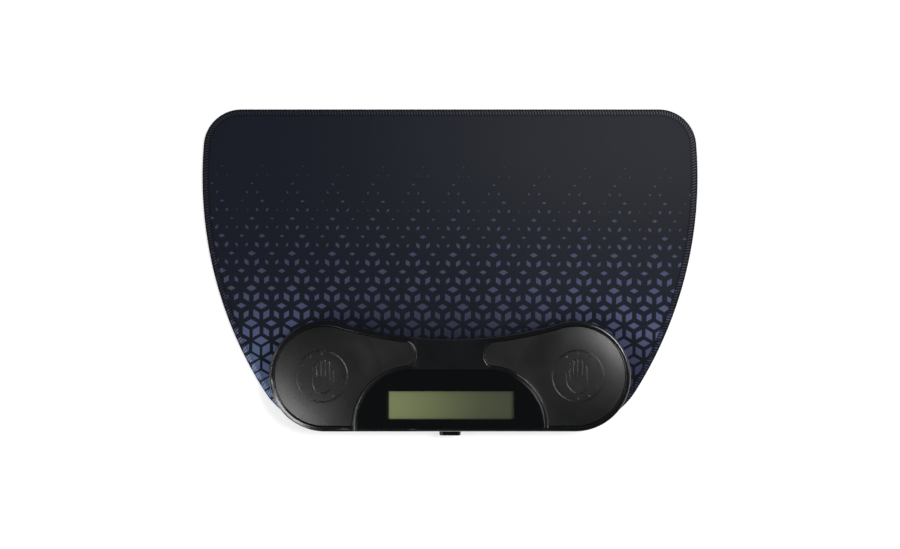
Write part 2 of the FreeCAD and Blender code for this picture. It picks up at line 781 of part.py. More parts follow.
def make_button_slot():
    """The hole in the front wall that guides the button."""
    slot = new_body("button_slot")
    sketch = new_sketch(slot, "0 - front_y - case_wall - 1", "XZ_Plane")
    draw_rectangle(sketch, "0 - button_width / 2 - button_gap", "button_width / 2 + button_gap",
                   "button_level - button_height / 2 - button_gap",
                   "button_level + button_height / 2 + button_gap")
    pad(slot, sketch, "case_wall + 2")
    round_edges(slot, "button_height / 2 * 0.98 + button_gap", runs_along_y)
    return slot


def runs_along_y(edge):
    """A test for edges parallel to Y."""
    box = edge.BoundBox
    return box.XLength < 1e-4 and box.ZLength < 1e-4


def make_button():
    """Pill-shaped button, its stop flange, and the switch that it works."""
    body = new_body("front_button")
    sketch = new_sketch(body, "0 - flange_back_y", "XZ_Plane")
    draw_rectangle(sketch, "0 - button_width / 2", "button_width / 2",
                   "button_level - button_height / 2", "button_level + button_height / 2")
    pad(body, sketch, "flange_back_y - front_y + button_reach")
    round_edges(body, "button_height / 2 * 0.98", runs_along_y)
    outer = value("front_y - button_reach")
    round_edges(body, "button_round", lambda edge: edge.BoundBox.YMax < outer + 1e-4)
    flange = new_sketch(body, "0 - flange_back_y", "XZ_Plane")
    draw_rectangle(flange, "0 - button_width / 2 - button_flange", "button_width / 2 + button_flange",
                   "button_level - button_height / 2 - button_flange / 3",
                   "button_level + button_height / 2 + button_flange / 3")
    pad(body, flange, "button_flange_thickness")

    rod("switch_plunger", ("0", "flange_back_y", "button_level"), "plunger_radius",
        "plunger_length + button_travel", "y")
    housing = block("switch_housing", "0", "switch_front_y + switch_depth / 2",
                    "board_bottom - switch_height", ("switch_width", "switch_depth", "switch_height"))
    bore = rod("switch_bore", ("0", "switch_front_y - 1", "button_level"), "plunger_radius + plunger_gap",
               "1 + 3 * button_travel", "y")
    cut("button_switch", housing, [bore])


# ---------------------------------------------------------------------------
# Display and circuit board
# ---------------------------------------------------------------------------

def make_display():
    """Fascia, clear window, display glass, its frame and the connector strips."""
    fascia = plate("display_fascia", draw_arch, "deck_top", "deck_top + fascia_thickness",
                   "arch_radius - bead_width / 2 - fascia_gap",
                   "front_y + fascia_front_rim + fascia_gap")
    round_edges(fascia, "pad_round", at_level("deck_top + fascia_thickness"))
    window = new_sketch(fascia, "deck_top")
    draw_rectangle(window, "0 - window_width / 2", "window_width / 2",
                   "window_y - window_depth / 2", "window_y + window_depth / 2")
    pocket(fascia, window, "fascia_thickness + 1", upward=True)

    lens = plate("display_window", draw_rectangle, "lens_flange_bottom", "deck_top",
                 "0 - window_width / 2 - lens_flange_width", "window_width / 2 + lens_flange_width",
                 "window_y - window_depth / 2 - lens_flange_width",
                 "window_y + window_depth / 2 + lens_flange_width")
    raised = new_sketch(lens, "deck_top")
    draw_rectangle(raised, "window_gap - window_width / 2", "window_width / 2 - window_gap",
                   "window_y + window_gap - window_depth / 2", "window_y + window_depth / 2 - window_gap")
    pad(lens, raised, "fascia_thickness - lens_sink")

    block("lcd_panel", "0", "window_y", "glass_bottom", ("glass_width", "glass_depth", "glass_thickness"))

    ring = plate("lcd_frame", draw_rectangle, "board_top", "deck_bottom - glass_gap",
                 "0 - glass_width / 2 - glass_gap - frame_wall", "glass_width / 2 + glass_gap + frame_wall",
                 "window_y - glass_depth / 2 - glass_gap - frame_wall",
                 "window_y + glass_depth / 2 + glass_gap + frame_wall")
    hole = new_sketch(ring, "board_top")
    draw_rectangle(hole, "0 - glass_width / 2 - glass_gap", "glass_width / 2 + glass_gap",
                   "window_y - glass_depth / 2 - glass_gap", "window_y + glass_depth / 2 + glass_gap")
    pocket(ring, hole, "deck_bottom - board_top", upward=True)

    group("lcd_connector_strips", [
        block(f"connector_strip_{number}", "0", f"window_y {sign} (glass_depth / 2 - strip_width)",
              "board_top", ("glass_width - 2 * strip_end_gap", "strip_width", "strip_height"))
        for number, sign in enumerate("-+", start=1)
    ])


def make_board():
    """Circuit board with the parts soldered to its underside."""
    board = block("board_blank", "0", "board_y", "board_bottom",
                  ("board_length", "board_depth", "board_thickness"))
    holes = [
        rod(f"board_hole_{number}", (x, y, "board_bottom - 1"), "board_screw_radius + screw_clear",
            "board_thickness + 2")
        for number, (x, y) in enumerate(BOARD_SCREWS, start=1)
    ]
    cut("main_board", board, holes)
    block("microcontroller", "chip_size * 2", "board_y", "board_bottom - chip_height",
          ("chip_size", "chip_size", "chip_height"))
    block("crystal", "0 - chip_size * 2", "board_y", "board_bottom - crystal_width",
          ("crystal_length", "crystal_width", "crystal_width"))
    group("board_capacitors", [
        block(f"capacitor_{number}", f"({number} - 2.5) * capacitor_pitch",
              "board_back_y - 2 * capacitor_width", "board_bottom - capacitor_width",
              ("capacitor_length", "capacitor_width", "capacitor_width"))
        for number in range(1, 5)
    ])


def make_sensors():
    """Flat electrodes under the deck, one below each touch pad."""
    for side, sign in (("left", "-1"), ("right", "1")):
        rod(f"{side}_sensor_plate", (f"{sign} * lobe_x", "0 - lobe_y", "deck_bottom - sensor_thickness"),
            "sensor_radius", "sensor_thickness")


# ---------------------------------------------------------------------------
# Cells and contacts
# ---------------------------------------------------------------------------

STEPS_PER_TURN = 12
CELL_ROWS = (("1", "bay_front_y + cell_gap + cell_radius"), ("-1", "bay_back_y - cell_gap - cell_radius"))


def make_cells():
    """Two cells side by side, head to tail, with a flat contact and a spring for each."""
    cells, plates = [], []
    body_length = "cell_length - cell_tip_length"
    tip_x = "bay_half_width - contact_thickness"
    for number, (way, y) in enumerate(CELL_ROWS, start=1):
        low_x = f"{tip_x} - cell_length" if way == "1" else f"cell_tip_length - ({tip_x})"
        tip_start = f"{tip_x} - 1.5 * cell_tip_length" if way == "1" else f"0 - ({tip_x})"
        can = rod(f"cell_{number}_can", (low_x, y, "cell_level"), "cell_radius", body_length, "x")
        tip = rod(f"cell_{number}_tip", (tip_start, y, "cell_level"), "cell_tip_radius",
                  "1.5 * cell_tip_length", "x")
        cells.append(fuse(f"cell_{number}", [can, tip]))
        for sign in ("-1", "1"):
            plates.append(block(f"contact_{number}_{sign}",
                                f"{sign} * (bay_half_width - contact_thickness / 2)", y,
                                "cell_level - contact_size / 2",
                                ("contact_thickness", "contact_size", "contact_size")))
    group("aaa_cells", cells)
    group("battery_contacts", plates)


def make_springs():
    """The two coil springs that press on the flat ends of the cells."""
    wire, radius, turns = value("spring_wire"), value("spring_radius"), value("spring_turns")
    steps = round(turns * STEPS_PER_TURN)
    outer = value("bay_half_width - contact_thickness") - wire
    rise = (value("spring_space") - 2 * wire) / steps
    coils = []
    for way, y in CELL_ROWS:
        middle = Vector(0, value(y), value("cell_level"))
        points = []
        for step in range(steps + 1):
            angle = 2 * math.pi * step / STEPS_PER_TURN
            x = int(way) * (rise * step - outer)
            points.append(middle + Vector(x, radius * math.cos(angle), radius * math.sin(angle)))
        coils.append(make_tube(points, wire))
    springs = doc.addObject("Part::Feature", "battery_springs")
    springs.Shape = Part.makeCompound(coils)


# ---------------------------------------------------------------------------
# Wires inside the case
# ---------------------------------------------------------------------------

def make_tube(points, radius):
    """A round wire: straight runs joined by tangent arcs as large as the runs allow."""
    edges, bends, last = [], [], points[0]
    for before, corner, after in zip(points, points[1:], points[2:]):
        inward, outward = (before - corner).normalize(), (after - corner).normalize()
        shorter = min((before - corner).Length, (after - corner).Length)
        reach = 0.45 * shorter
        half_turn = (math.pi - inward.getAngle(outward)) / 2
        bend = reach / math.tan(half_turn)
        start, end = corner + inward * reach, corner + outward * reach
        to_centre = (inward + outward).normalize()
        middle = corner + to_centre * (bend / math.cos(half_turn) - bend)
        bends.append(bend)
        edges += [Part.LineSegment(last, start).toShape(), Part.Arc(start, middle, end).toShape()]
        last = end
    edges.append(Part.LineSegment(last, points[-1]).toShape())
    print(f"tube of {len(points)} points, bend radii from {min(bends):.1f} to {max(bends):.1f} mm")
    section = Part.Wire(Part.makeCircle(radius, points[0], points[1] - points[0]))
    return Part.Wire(edges).makePipeShell([section], True, False)


def mirrored(points, side):
    """The points on one side of the timer's middle plane."""
    return [Vector(side * point.x, point.y, point.z) for point in points]


def between(start, end, shares):
    """The point whose x, y and z lie at these shares of the way from start to end."""
    return Vector(*(low + (high - low) * share for low, high, share in zip(start, end, shares)))


SENSOR_LEAD_SHARES = ((0, 0, 0), (0.42, 0.12, 0), (0.74, 0.38, 0.55), (0.88, 0.7, 1), (1, 1, 1))
BATTERY_LEAD_SHARES = ((0, 0, 0), (0, 0.27, 0), (0.5, 0.56, 0.9), (1, 1, 1))


def make_wires():
    """A lead from each touch electrode to the board, and two from the cells to the board."""
    radius = value("wire_radius")
    half_bay = value("bay_half_width")
    routes = {
        "sensor_leads": (
            SENSOR_LEAD_SHARES,
            Vector(value("lobe_x - sensor_radius + lead_lap"), value("0 - lobe_y"),
                   value("deck_bottom - sensor_thickness") - radius),
            Vector(value("board_length / 2") - 2 * radius, value("board_y"), value("board_top") + radius),
        ),
        "battery_leads": (
            BATTERY_LEAD_SHARES,
            Vector(0.7 * half_bay, value("bay_front_y - bay_wall"), value("cell_level")),
            Vector(0.85 * half_bay, value("board_back_y - lead_lap / 3"), value("board_bottom") - radius),
        ),
    }
    for label, (shares, start, end) in routes.items():
        points = [between(start, end, share) for share in shares]
        leads = doc.addObject("Part::Feature", label)
        leads.Shape = Part.makeCompound([make_tube(mirrored(points, side), radius) for side in (-1, 1)])


# ---------------------------------------------------------------------------
# Build, check and export
# ---------------------------------------------------------------------------

NODES = [
    "mat_base", "mat_fabric", "mat_edge_stitching",
    "bottom_shell", "top_shell", "left_touch_pad", "right_touch_pad",
    "display_fascia", "display_window", "lcd_panel", "lcd_frame", "lcd_connector_strips",
    "main_board", "microcontroller", "crystal", "board_capacitors", "board_screws",
    "button_switch", "switch_plunger", "front_button",
    "left_sensor_plate", "right_sensor_plate", "sensor_leads",
    "aaa_cells", "battery_contacts", "battery_springs", "battery_leads", "battery_door",
    "rubber_feet", "case_screws",
]


def main():
    """Build every sub-part, check the document and write one STEP file per sub-part."""
    make_mat()
    make_fasteners()
    make_touch_pads()
    make_top_shell()
    make_bottom_shell()
    make_battery_door()
    make_button()
    make_display()
    make_board()
    make_sensors()
    make_cells()
    make_springs()
    make_wires()
    doc.recompute()

    failed = [item.Label for item in doc.Objects if {"Invalid", "Error"} & set(item.State)]
    if failed:
        raise ValueError(f"failed objects: {failed}")
    os.makedirs("parts", exist_ok=True)
    shapes = {}
    for label in NODES:
        shape = doc.getObjectsByLabel(label)[0].Shape
        if shape.isNull() or not shape.isValid():
            raise ValueError(f"{label} has no valid shape")
        shapes[label] = shape
    for label, shape in shapes.items():
        shape.exportStep(f"parts/{label}.step")
        print(f"{label}: {len(shape.Solids)} solid(s), {shape.Volume:.1f} mm3")


main()
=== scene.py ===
"""Looks of a two-pad speed cube timer that stands on its mat.

Everything is in metres, +Z up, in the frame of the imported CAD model. Sizes are written in
millimetres and turned into metres where a piece is made.
"""
import functools
import logging
import math
from dataclasses import dataclass
from enum import Enum
from typing import Iterable, Sequence, Union

import bpy
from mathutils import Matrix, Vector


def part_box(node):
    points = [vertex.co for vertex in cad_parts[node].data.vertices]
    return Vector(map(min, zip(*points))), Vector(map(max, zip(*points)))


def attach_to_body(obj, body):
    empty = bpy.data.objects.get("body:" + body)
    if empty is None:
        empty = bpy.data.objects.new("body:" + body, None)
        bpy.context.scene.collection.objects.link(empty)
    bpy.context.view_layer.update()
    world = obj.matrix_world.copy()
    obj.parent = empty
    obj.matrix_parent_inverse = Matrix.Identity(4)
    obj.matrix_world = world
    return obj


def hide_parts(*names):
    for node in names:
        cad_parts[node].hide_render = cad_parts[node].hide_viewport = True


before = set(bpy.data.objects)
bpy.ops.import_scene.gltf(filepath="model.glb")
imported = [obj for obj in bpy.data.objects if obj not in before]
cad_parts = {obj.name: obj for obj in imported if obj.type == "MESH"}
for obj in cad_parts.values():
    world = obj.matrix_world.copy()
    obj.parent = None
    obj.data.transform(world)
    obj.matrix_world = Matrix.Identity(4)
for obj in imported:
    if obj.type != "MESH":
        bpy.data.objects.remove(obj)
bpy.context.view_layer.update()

MM = 0.001
LOG = logging.getLogger("speed_cube_timer")

# Rays per rounded edge, size and swing of the wear in the gloss, and the crease angle of bars.
EDGE_SAMPLES = 8
WEAR_SIZE = 18.0
WEAR_SWING = 0.08
BAR_CREASE = 50.0

Span = tuple[float, float]
Point = tuple[float, float, float]
Colour = tuple[float, float, float, float]
Run = tuple[Sequence[Point], float, bool]


class Body(Enum):
    """The CAD bodies that pieces ride on."""

    MAT = "mat"
    TIMER = "timer"


class Side(Enum):
    """Left or right of the timer, as a sign along X."""

    LEFT = -1
    RIGHT = 1


# -------- Shader nodes --------


def srgb(code: str) -> Colour:
    """Turn a hex colour as seen on a screen into linear light, by the sRGB curve.

    Args:
        code: Six hex digits after a hash sign.

    Returns:
        Red, green, blue and an alpha of 1.
    """
    parts = [int(code[start:start + 2], 16) / 255 for start in (1, 3, 5)]
    red, green, blue = [
        part / 12.92 if part <= 0.04045 else ((part + 0.055) / 1.055) ** 2.4 for part in parts
    ]
    return (red, green, blue, 1.0)


def add_node(tree: bpy.types.NodeTree, kind: str, settings: dict, links: dict) -> bpy.types.Node:
    """Add one node to a tree.

    Args:
        tree: The node tree.
        kind: The node's type.
        settings: Its properties by name.
        links: Its inputs by name or number: a socket or field to join, or a constant.

    Returns:
        The new node.
    """
    made = tree.nodes.new(kind)
    for name, setting in settings.items():
        setattr(made, name, setting)
    for name, source in links.items():
        socket = source.socket if isinstance(source, Field) else source
        if isinstance(socket, bpy.types.NodeSocket):
            tree.links.new(socket, made.inputs[name])
        else:
            made.inputs[name].default_value = socket
    return made


class Field:
    """A number or colour that varies over a surface, with arithmetic between such fields."""

    def __init__(self, tree: bpy.types.NodeTree, socket: bpy.types.NodeSocket) -> None:
        """Wrap the output of a shader node."""
        self.tree = tree
        self.socket = socket

    def math(self, operation: str, *others: "Number", clamp: bool = False) -> "Field":
        """Put this field and others through a Math node.

        Args:
            operation: The Math node's operation.
            others: Its further inputs.
            clamp: Whether the result is held between 0 and 1.

        Returns:
            The result as a field.
        """
        links = dict(enumerate((self, *others)))
        settings = {"operation": operation, "use_clamp": clamp}
        made = add_node(self.tree, "ShaderNodeMath", settings, links)
        return Field(self.tree, made.outputs[0])

    def __add__(self, other: "Number") -> "Field":
        """Sum."""
        return self.math("ADD", other)

    def __sub__(self, other: "Number") -> "Field":
        """Difference."""
        return self.math("SUBTRACT", other)

    def __mul__(self, other: "Number") -> "Field":
        """Product."""
        return self.math("MULTIPLY", other)

    def __truediv__(self, other: "Number") -> "Field":
        """Quotient."""
        return self.math("DIVIDE", other)

    def __abs__(self) -> "Field":
        """Size without sign."""
        return self.math("ABSOLUTE")

    def smallest(self, other: "Number") -> "Field":
        """The lower of two."""
        return self.math("MINIMUM", other)

    def largest(self, other: "Number") -> "Field":
        """The higher of two."""
        return self.math("MAXIMUM", other)

    def above(self, other: "Number") -> "Field":
        """1 where this field is higher than another, and 0 elsewhere."""
        return self.math("GREATER_THAN", other)

    def wave(self, length: float) -> "Field":
        """A sine of this field, -1 to 1, that repeats after a length."""
        return (self * (2 * math.pi / length)).math("SINE")

    def ramp(self, low: float, high: float) -> "Field":
        """A smooth climb from 0 at one value of the field to 1 at another.

        Args:
            low: The value that gives 0; it may be the higher one of the two.
            high: The value that gives 1.

        Returns:
            The climb as a field, flat beyond both values.
        """
        made = add_node(
            self.tree, "ShaderNodeMapRange", {"interpolation_type": "SMOOTHSTEP"},
            {"Value": self, "From Min": low, "From Max": high, "To Min": 0.0, "To Max": 1.0},
        )
        return Field(self.tree, made.outputs["Result"])

    def band(self, low: float, high: float, soft: float) -> "Field":
        """1 between two values of the field, falling softly to 0 outside them."""
        return self.ramp(low - soft, low) * self.ramp(high + soft, high)


Number = Union[float, Field]


class Graph:
    """A material with its node tree and the fields that finishes are made from."""

    def __init__(self, name: str) -> None:
        """Start an empty material."""
        self.material = bpy.data.materials.new(name)
        self.material.use_nodes = True
        self.tree = self.material.node_tree
        self.tree.nodes.clear()
        self.place = self.node("ShaderNodeTexCoord").outputs["Object"]
        split = self.node("ShaderNodeSeparateXYZ", links={0: self.place})
        self.x, self.y, self.z = [Field(self.tree, out) * (1 / MM) for out in split.outputs]

    def node(
        self, kind: str, settings: dict | None = None, links: dict | None = None
    ) -> bpy.types.Node:
        """Add one node; see add_node."""
        return add_node(self.tree, kind, settings or {}, links or {})

    def noise(self, size: float, detail: float = 2.0) -> Field:
        """Cloudy noise, about 0 to 1.

        Args:
            size: The size of its features in millimetres.
            detail: How many finer layers it has.

        Returns:
            The noise as a field.
        """
        links = {"Vector": self.place, "Scale": 1 / (size * MM), "Detail": detail}
        return Field(self.tree, self.node("ShaderNodeTexNoise", links=links).outputs[0])

    def mix(
        self, share: Number, first: Union[Colour, Field], second: Union[Colour, Field]
    ) -> Field:
        """Blend two colours.

        Args:
            share: 0 for the first, 1 for the second.
            first: The first colour.
            second: The second colour.

        Returns:
            The blend as a field.
        """
        made = self.node("ShaderNodeMix", {"data_type": "RGBA"}, {0: share, 6: first, 7: second})
        return Field(self.tree, made.outputs[2])

    def shaded(self, colour: Union[Colour, Field], factor: Field) -> Field:
        """A colour times a factor."""
        links = {0: colour, "Scale": factor}
        made = self.node("ShaderNodeVectorMath", {"operation": "SCALE"}, links)
        return Field(self.tree, made.outputs[0])

    def relief(self, height: Field, depth: float, edge: float) -> Field:
        """The surface's normal, with rounded edges and a relief.

        Args:
            height: The relief, 0 to 1.
            depth: How deep it is in millimetres.
            edge: The radius of the rounded edges in millimetres.

        Returns:
            The normal as a field.
        """
        rounded = self.node("ShaderNodeBevel", {"samples": EDGE_SAMPLES}, {"Radius": edge * MM})
        links = {"Height": height, "Distance": depth * MM, "Strength": 1.0}
        bump = self.node("ShaderNodeBump", links=links | {"Normal": rounded.outputs[0]})
        return Field(self.tree, bump.outputs[0])

    def surface(self, inputs: dict) -> bpy.types.Material:
        """Finish the material with a principled shader.

        Args:
            inputs: The shader's inputs by name.

        Returns:
            The finished material.
        """
        shader = self.node("ShaderNodeBsdfPrincipled", links=inputs)
        self.node("ShaderNodeOutputMaterial", links={"Surface": shader.outputs[0]})
        return self.material


# -------- Finishes --------


@dataclass(frozen=True)
class Finish:
    """Moulded or machined stuff in one colour with a fine grain; lengths in millimetres."""

    name: str
    shade: str
    roughness: float
    metallic: float = 0.0
    specular: float = 0.5
    grain: float = 0.3
    depth: float = 0.006
    edge: float = 0.1

    def inputs(self, graph: Graph) -> dict:
        """What the finish gives the principled shader.

        Args:
            graph: The material that the nodes go into.

        Returns:
            The shader's inputs by name.
        """
        wear_and_painted_light = graph.noise(WEAR_SIZE) * WEAR_SWING + (self.roughness - WEAR_SWING / 2)
        return {
            "Base Color": srgb(self.shade),
            "Roughness": wear_and_painted_light,
            "Metallic": self.metallic,
            "Specular IOR Level": self.specular,
            "Normal": graph.relief(graph.noise(self.grain), self.depth, self.edge),
        }

    def material(self) -> bpy.types.Material:
        """Build the material."""
        graph = Graph(self.name)
        return graph.surface(self.inputs(graph))


@dataclass(frozen=True)
class CaseShell(Finish):
    """Smooth case plastic, softer on the bridge, with a fine shadow line at the parting."""

    bridge_half: float = 31.0
    bridge_front: float = -74.0
    bridge_back: float = -52.0
    bridge_soft: float = 1.5
    bridge_fade: float = 5.0
    bridge_roughness: float = 0.16
    bridge_shade: str = "#0d0e10"
    parting: float = 9.1
    parting_half: float = 0.12
    arch_x: float = 27.6
    arch_y: float = -115.0
    bead_radius: float = 41.9
    bead_half: float = 1.4
    bead_rise: float = 0.45
    bead_fade_x: Span = (-22.0, -32.0)
    bead_fade_z: Span = (24.4, 25.2)
    lobe_x: float = 91.8
    lobe_y: float = -78.6
    rim_radius: float = 39.0
    rim_half: float = 1.4
    rim_fall: float = 0.2
    rim_fade_x: Span = (72.0, 84.0)
    rim_fade_y: Span = (2.0, -12.0)
    relief_depth: float = 0.2

    def rim(self, graph: Graph) -> Field:
        """How far the rim is eased down before its edge, round the front of each lobe, 0 to 1."""
        across = (abs(graph.x) - self.lobe_x).largest(0.0)
        along = graph.y - self.lobe_y
        off = abs((across * across + along * along).math("SQRT") - self.rim_radius)
        front = along.ramp(*self.rim_fade_y) * abs(graph.x).ramp(*self.rim_fade_x)
        return off.ramp(self.rim_half, 0.0) * front * graph.z.above(self.parting)

    def bead(self, graph: Graph) -> Field:
        """How far the surface falls away from the crest of the bead left of the display, 0 to 1."""
        across = (abs(graph.x) - self.arch_x).largest(0.0)
        along = (graph.y - self.arch_y).largest(0.0)
        off = (across * across + along * along).math("SQRT") - self.bead_radius
        off = off / self.bead_half
        flank = graph.x.ramp(*self.bead_fade_x) * graph.z.ramp(*self.bead_fade_z)
        return (off * off).smallest(1.0) * flank

    def inputs(self, graph: Graph) -> dict:
        """See Finish.inputs."""
        inputs = super().inputs(graph)
        bridge = graph.y.band(self.bridge_front, self.bridge_back, self.bridge_soft)
        bridge = bridge * abs(graph.x).ramp(self.bridge_half, self.bridge_half - self.bridge_fade)
        seam = abs(graph.z - self.parting).ramp(self.parting_half, self.parting_half / 2)
        inputs["Base Color"] = graph.mix(bridge, srgb(self.shade), srgb(self.bridge_shade))
        softer = bridge * (self.bridge_roughness - self.roughness)
        inputs["Roughness"] = inputs["Roughness"] + softer
        height = graph.noise(self.grain) * (self.depth / self.relief_depth) - seam
        height = height - self.bead(graph) * (self.bead_rise / self.relief_depth)
        height = height - self.rim(graph) * (self.rim_fall / self.relief_depth)
        inputs["Normal"] = graph.relief(height, self.relief_depth, self.edge)
        return inputs


@dataclass(frozen=True)
class PrintedCloth(Finish):
    """Fine knitted cloth printed with tumbling blocks whose rhombi shrink towards the back, with
    painted light and painted shade laid over the print and the ground.
    """

    # The blocks' rows, the rhombi's share of a block, and how it grows per millimetre.
    block_width: float = 15.0
    turn: float = -0.0075
    start_x: float = -147.7
    start_y: float = 7.35
    large_share: float = 0.459
    small_share: float = 0.343
    growth: float = 0.0049
    growth_start: float = -4.2
    smallest_share: float = 0.07
    blur: float = 0.07
    # Real loops are about 0.4 mm apart, and are drawn coarser so that they show.
    knit: float = 0.55
    knit_squash: float = 0.8
    sheen: float = 0.02
    sheen_roughness: float = 0.5
    fleck_size: float = 0.8
    fleck_detail: float = 3.0
    fleck_swing: float = 0.34
    lit_right_shade: str = "#303237"
    far_print: str = "#383a4c"
    near_print: str = "#4e5372"
    shadow_print: str = "#38383c"
    lit_corner_print: str = "#5d749c"
    shadow_print_share: float = 0.5
    shadow_loss: float = 0.4
    lit_patch_gain: float = 0.2
    # Where along X or Y each change of ink or ground starts and is complete. All but near_y place
    # painted light and painted shade on the cloth.
    corner_x: Span = (-70.0, -165.0)
    corner_y: Span = (-30.0, -110.0)
    near_y: Span = (45.0, -95.0)
    shadow_x: Span = (120.0, 50.0)
    shadow_y: Span = (10.0, -60.0)
    front_y: Span = (-45.0, -80.0)
    painted_light_x: Span = (-150.0, 170.0)
    painted_light_y: Span = (-60.0, 100.0)
    lit_patch_x: Span = (0.0, 80.0)
    lit_patch_back: Span = (30.0, -15.0)
    lit_patch_front: Span = (-65.0, -45.0)

    def nearest(self, along: Field, across: Field, shift: float) -> tuple[Field, Field, Field]:
        """The nearest block of one set of rows.

        Args:
            along: Distance along the rows from a block's middle.
            across: Distance across the rows from it.
            shift: 0 for its own rows, 0.5 for the rows between them.

        Returns:
            The block's number in its row, and the offset from its middle along and across.
        """
        width, rows = self.block_width, self.block_width * math.sqrt(3)
        column = (along / width - shift).math("ROUND")
        row = (across / rows - shift).math("ROUND")
        return column, along - (column + shift) * width, across - (row + shift) * rows

    def rhombi(self, along: Field, across: Field) -> Field:
        """How far out a point lies in the nearest of a block's three rhombi.

        Args:
            along: Distance along the rows from the block's middle.
            across: Distance across the rows from it.

        Returns:
            0 in a rhombus's middle and 1 at its edges.
        """
        half, side = self.block_width / 2, self.block_width / math.sqrt(3)
        nearest = None
        for number in range(3):
            angle = number * 2 * math.pi / 3
            turned_x = along * math.cos(angle) + across * math.sin(angle)
            turned_y = across * math.cos(angle) - along * math.sin(angle)
            reach = abs(turned_x) / half + abs(turned_y - side / 2) / (side / 2)
            nearest = reach if nearest is None else nearest.smallest(reach)
        return nearest

    def corner(self, graph: Graph) -> Field:
        """How near a point is to the front left corner, where painted light makes the ink lightest.
        """
        return graph.y.ramp(*self.corner_y) * graph.x.ramp(*self.corner_x)

    def printed(self, graph: Graph) -> Field:
        """Where the rhombi are printed.

        Args:
            graph: The material that the nodes go into.

        Returns:
            1 on the ink and 0 on the bare cloth, with soft edges.
        """
        offset_x, offset_y = graph.x - self.start_x, graph.y - self.start_y
        along = offset_x * math.cos(self.turn) + offset_y * math.sin(self.turn)
        across = offset_y * math.cos(self.turn) - offset_x * math.sin(self.turn)
        own = self.nearest(along, across, 0.0)
        between = self.nearest(along, across, 0.5)
        squares = [part[1] * part[1] + part[2] * part[2] for part in (own, between)]
        other = squares[0].above(squares[1])
        column, near_x, near_y = [
            first + (second - first) * other for first, second in zip(own, between)
        ]
        middle_y = graph.y - near_y
        odd = abs(column.math("MODULO", 2.0)).above(0.5)
        share = odd * (self.small_share - self.large_share) + self.large_share
        share = share - (middle_y - self.growth_start) * self.growth
        inside = (share - self.rhombi(near_x, near_y)).ramp(-self.blur, self.blur)
        return inside * share.above(self.smallest_share)

    def inputs(self, graph: Graph) -> dict:
        """See Finish.inputs."""
        inputs = super().inputs(graph)
        printed = self.printed(graph)
        # Painted shadow: behind the middle of the timer, where its shadow falls on the cloth, the
        # ink is mixed towards a greyer colour and darkened.
        painted_shadow = graph.y.ramp(*self.shadow_y) * abs(graph.x).ramp(*self.shadow_x)
        ink = graph.mix(graph.y.ramp(*self.near_y), srgb(self.far_print), srgb(self.near_print))
        # Painted light: the ink is lighter and bluer towards the front left corner, where the light
        # falls.
        ink = graph.mix(self.corner(graph), ink, srgb(self.lit_corner_print))
        ink = graph.mix(painted_shadow * self.shadow_print_share, ink, srgb(self.shadow_print))
        # Painted light: the ground and the ink grow lighter towards the right back, where the light
        # falls.
        wear_and_painted_light = graph.x.ramp(*self.painted_light_x) * graph.y.ramp(*self.painted_light_y)
        ground = graph.mix(wear_and_painted_light, srgb(self.shade), srgb(self.lit_right_shade))
        # Painted light: a brighter patch on the cloth right of the middle, behind the timer.
        lit_patch = graph.y.ramp(*self.lit_patch_back) * graph.y.ramp(*self.lit_patch_front)
        lit_patch = lit_patch * graph.x.ramp(*self.lit_patch_x)
        # Painted shade: the ink is darkened at the front right too, away from the light.
        painted_shadow = painted_shadow.largest(graph.y.ramp(*self.front_y) * graph.x.above(0.0))
        fleck = graph.noise(self.fleck_size, self.fleck_detail) * self.fleck_swing
        fleck = fleck + (1.0 - self.fleck_swing / 2)
        level = printed * (wear_and_painted_light - painted_shadow * self.shadow_loss) + lit_patch * self.lit_patch_gain + 1.0
        inputs["Base Color"] = graph.shaded(graph.mix(printed, ground, ink), fleck * level)
        loops = graph.x.wave(self.knit) * graph.y.wave(self.knit * self.knit_squash)
        inputs["Normal"] = graph.relief(loops * 0.5 + 0.5, self.depth, self.edge)
        inputs["Sheen Weight"] = self.sheen
        inputs["Sheen Roughness"] = self.sheen_roughness
        return inputs


@dataclass(frozen=True)
class PrintedThread(PrintedCloth):
    """Overlock thread that was printed with the cloth, with painted shade below the crests of its
    stitches, lighter at the front left corner where painted light falls.
    """

    crest: Span = (3.36, 3.75)
    depth_shade: float = 0.2
    lit_corner_lift: float = 0.5

    def inputs(self, graph: Graph) -> dict:
        """See Finish.inputs."""
        inputs = super().inputs(graph)
        # Painted shade: below the crests the colour is darkened to depth_shade, less so at the
        # front left corner.
        depths = self.corner(graph) * self.lit_corner_lift + self.depth_shade
        lit = depths + graph.z.ramp(*self.crest) * (depths * -1.0 + 1.0)
        inputs["Base Color"] = graph.shaded(inputs["Base Color"], lit)
        inputs["Normal"] = graph.relief(graph.noise(self.grain), self.depth, self.edge)
        return inputs


@dataclass(frozen=True)
class DomedPad(Finish):
    """The touch pads' matte plastic, which swells a little towards the middle of each lobe."""

    middle_x: float = 93.8
    middle_y: float = -78.6
    reach: float = 45.0
    rise: float = 1.62

    def inputs(self, graph: Graph) -> dict:
        """See Finish.inputs."""
        inputs = super().inputs(graph)
        across, along = abs(graph.x) - self.middle_x, graph.y - self.middle_y
        fall = ((across * across + along * along) / self.reach ** 2).ramp(0.0, 1.0)
        height = graph.noise(self.grain) * (self.depth / self.rise) - fall
        inputs["Normal"] = graph.relief(height, self.rise, self.edge)
        return inputs


@dataclass(frozen=True)
class Waffle(Finish):
    """Rubber with a fine grid of dimples."""

    pitch: float = 2.2
    wall: float = 0.6

    def inputs(self, graph: Graph) -> dict:
        """See Finish.inputs."""
        inputs = super().inputs(graph)
        first = abs((graph.x + graph.y).wave(self.pitch * 2))
        second = abs((graph.x - graph.y).wave(self.pitch * 2))
        dimples = first.smallest(second).ramp(0.0, self.wall)
        inputs["Normal"] = graph.relief(dimples, self.depth, self.edge)
        return inputs


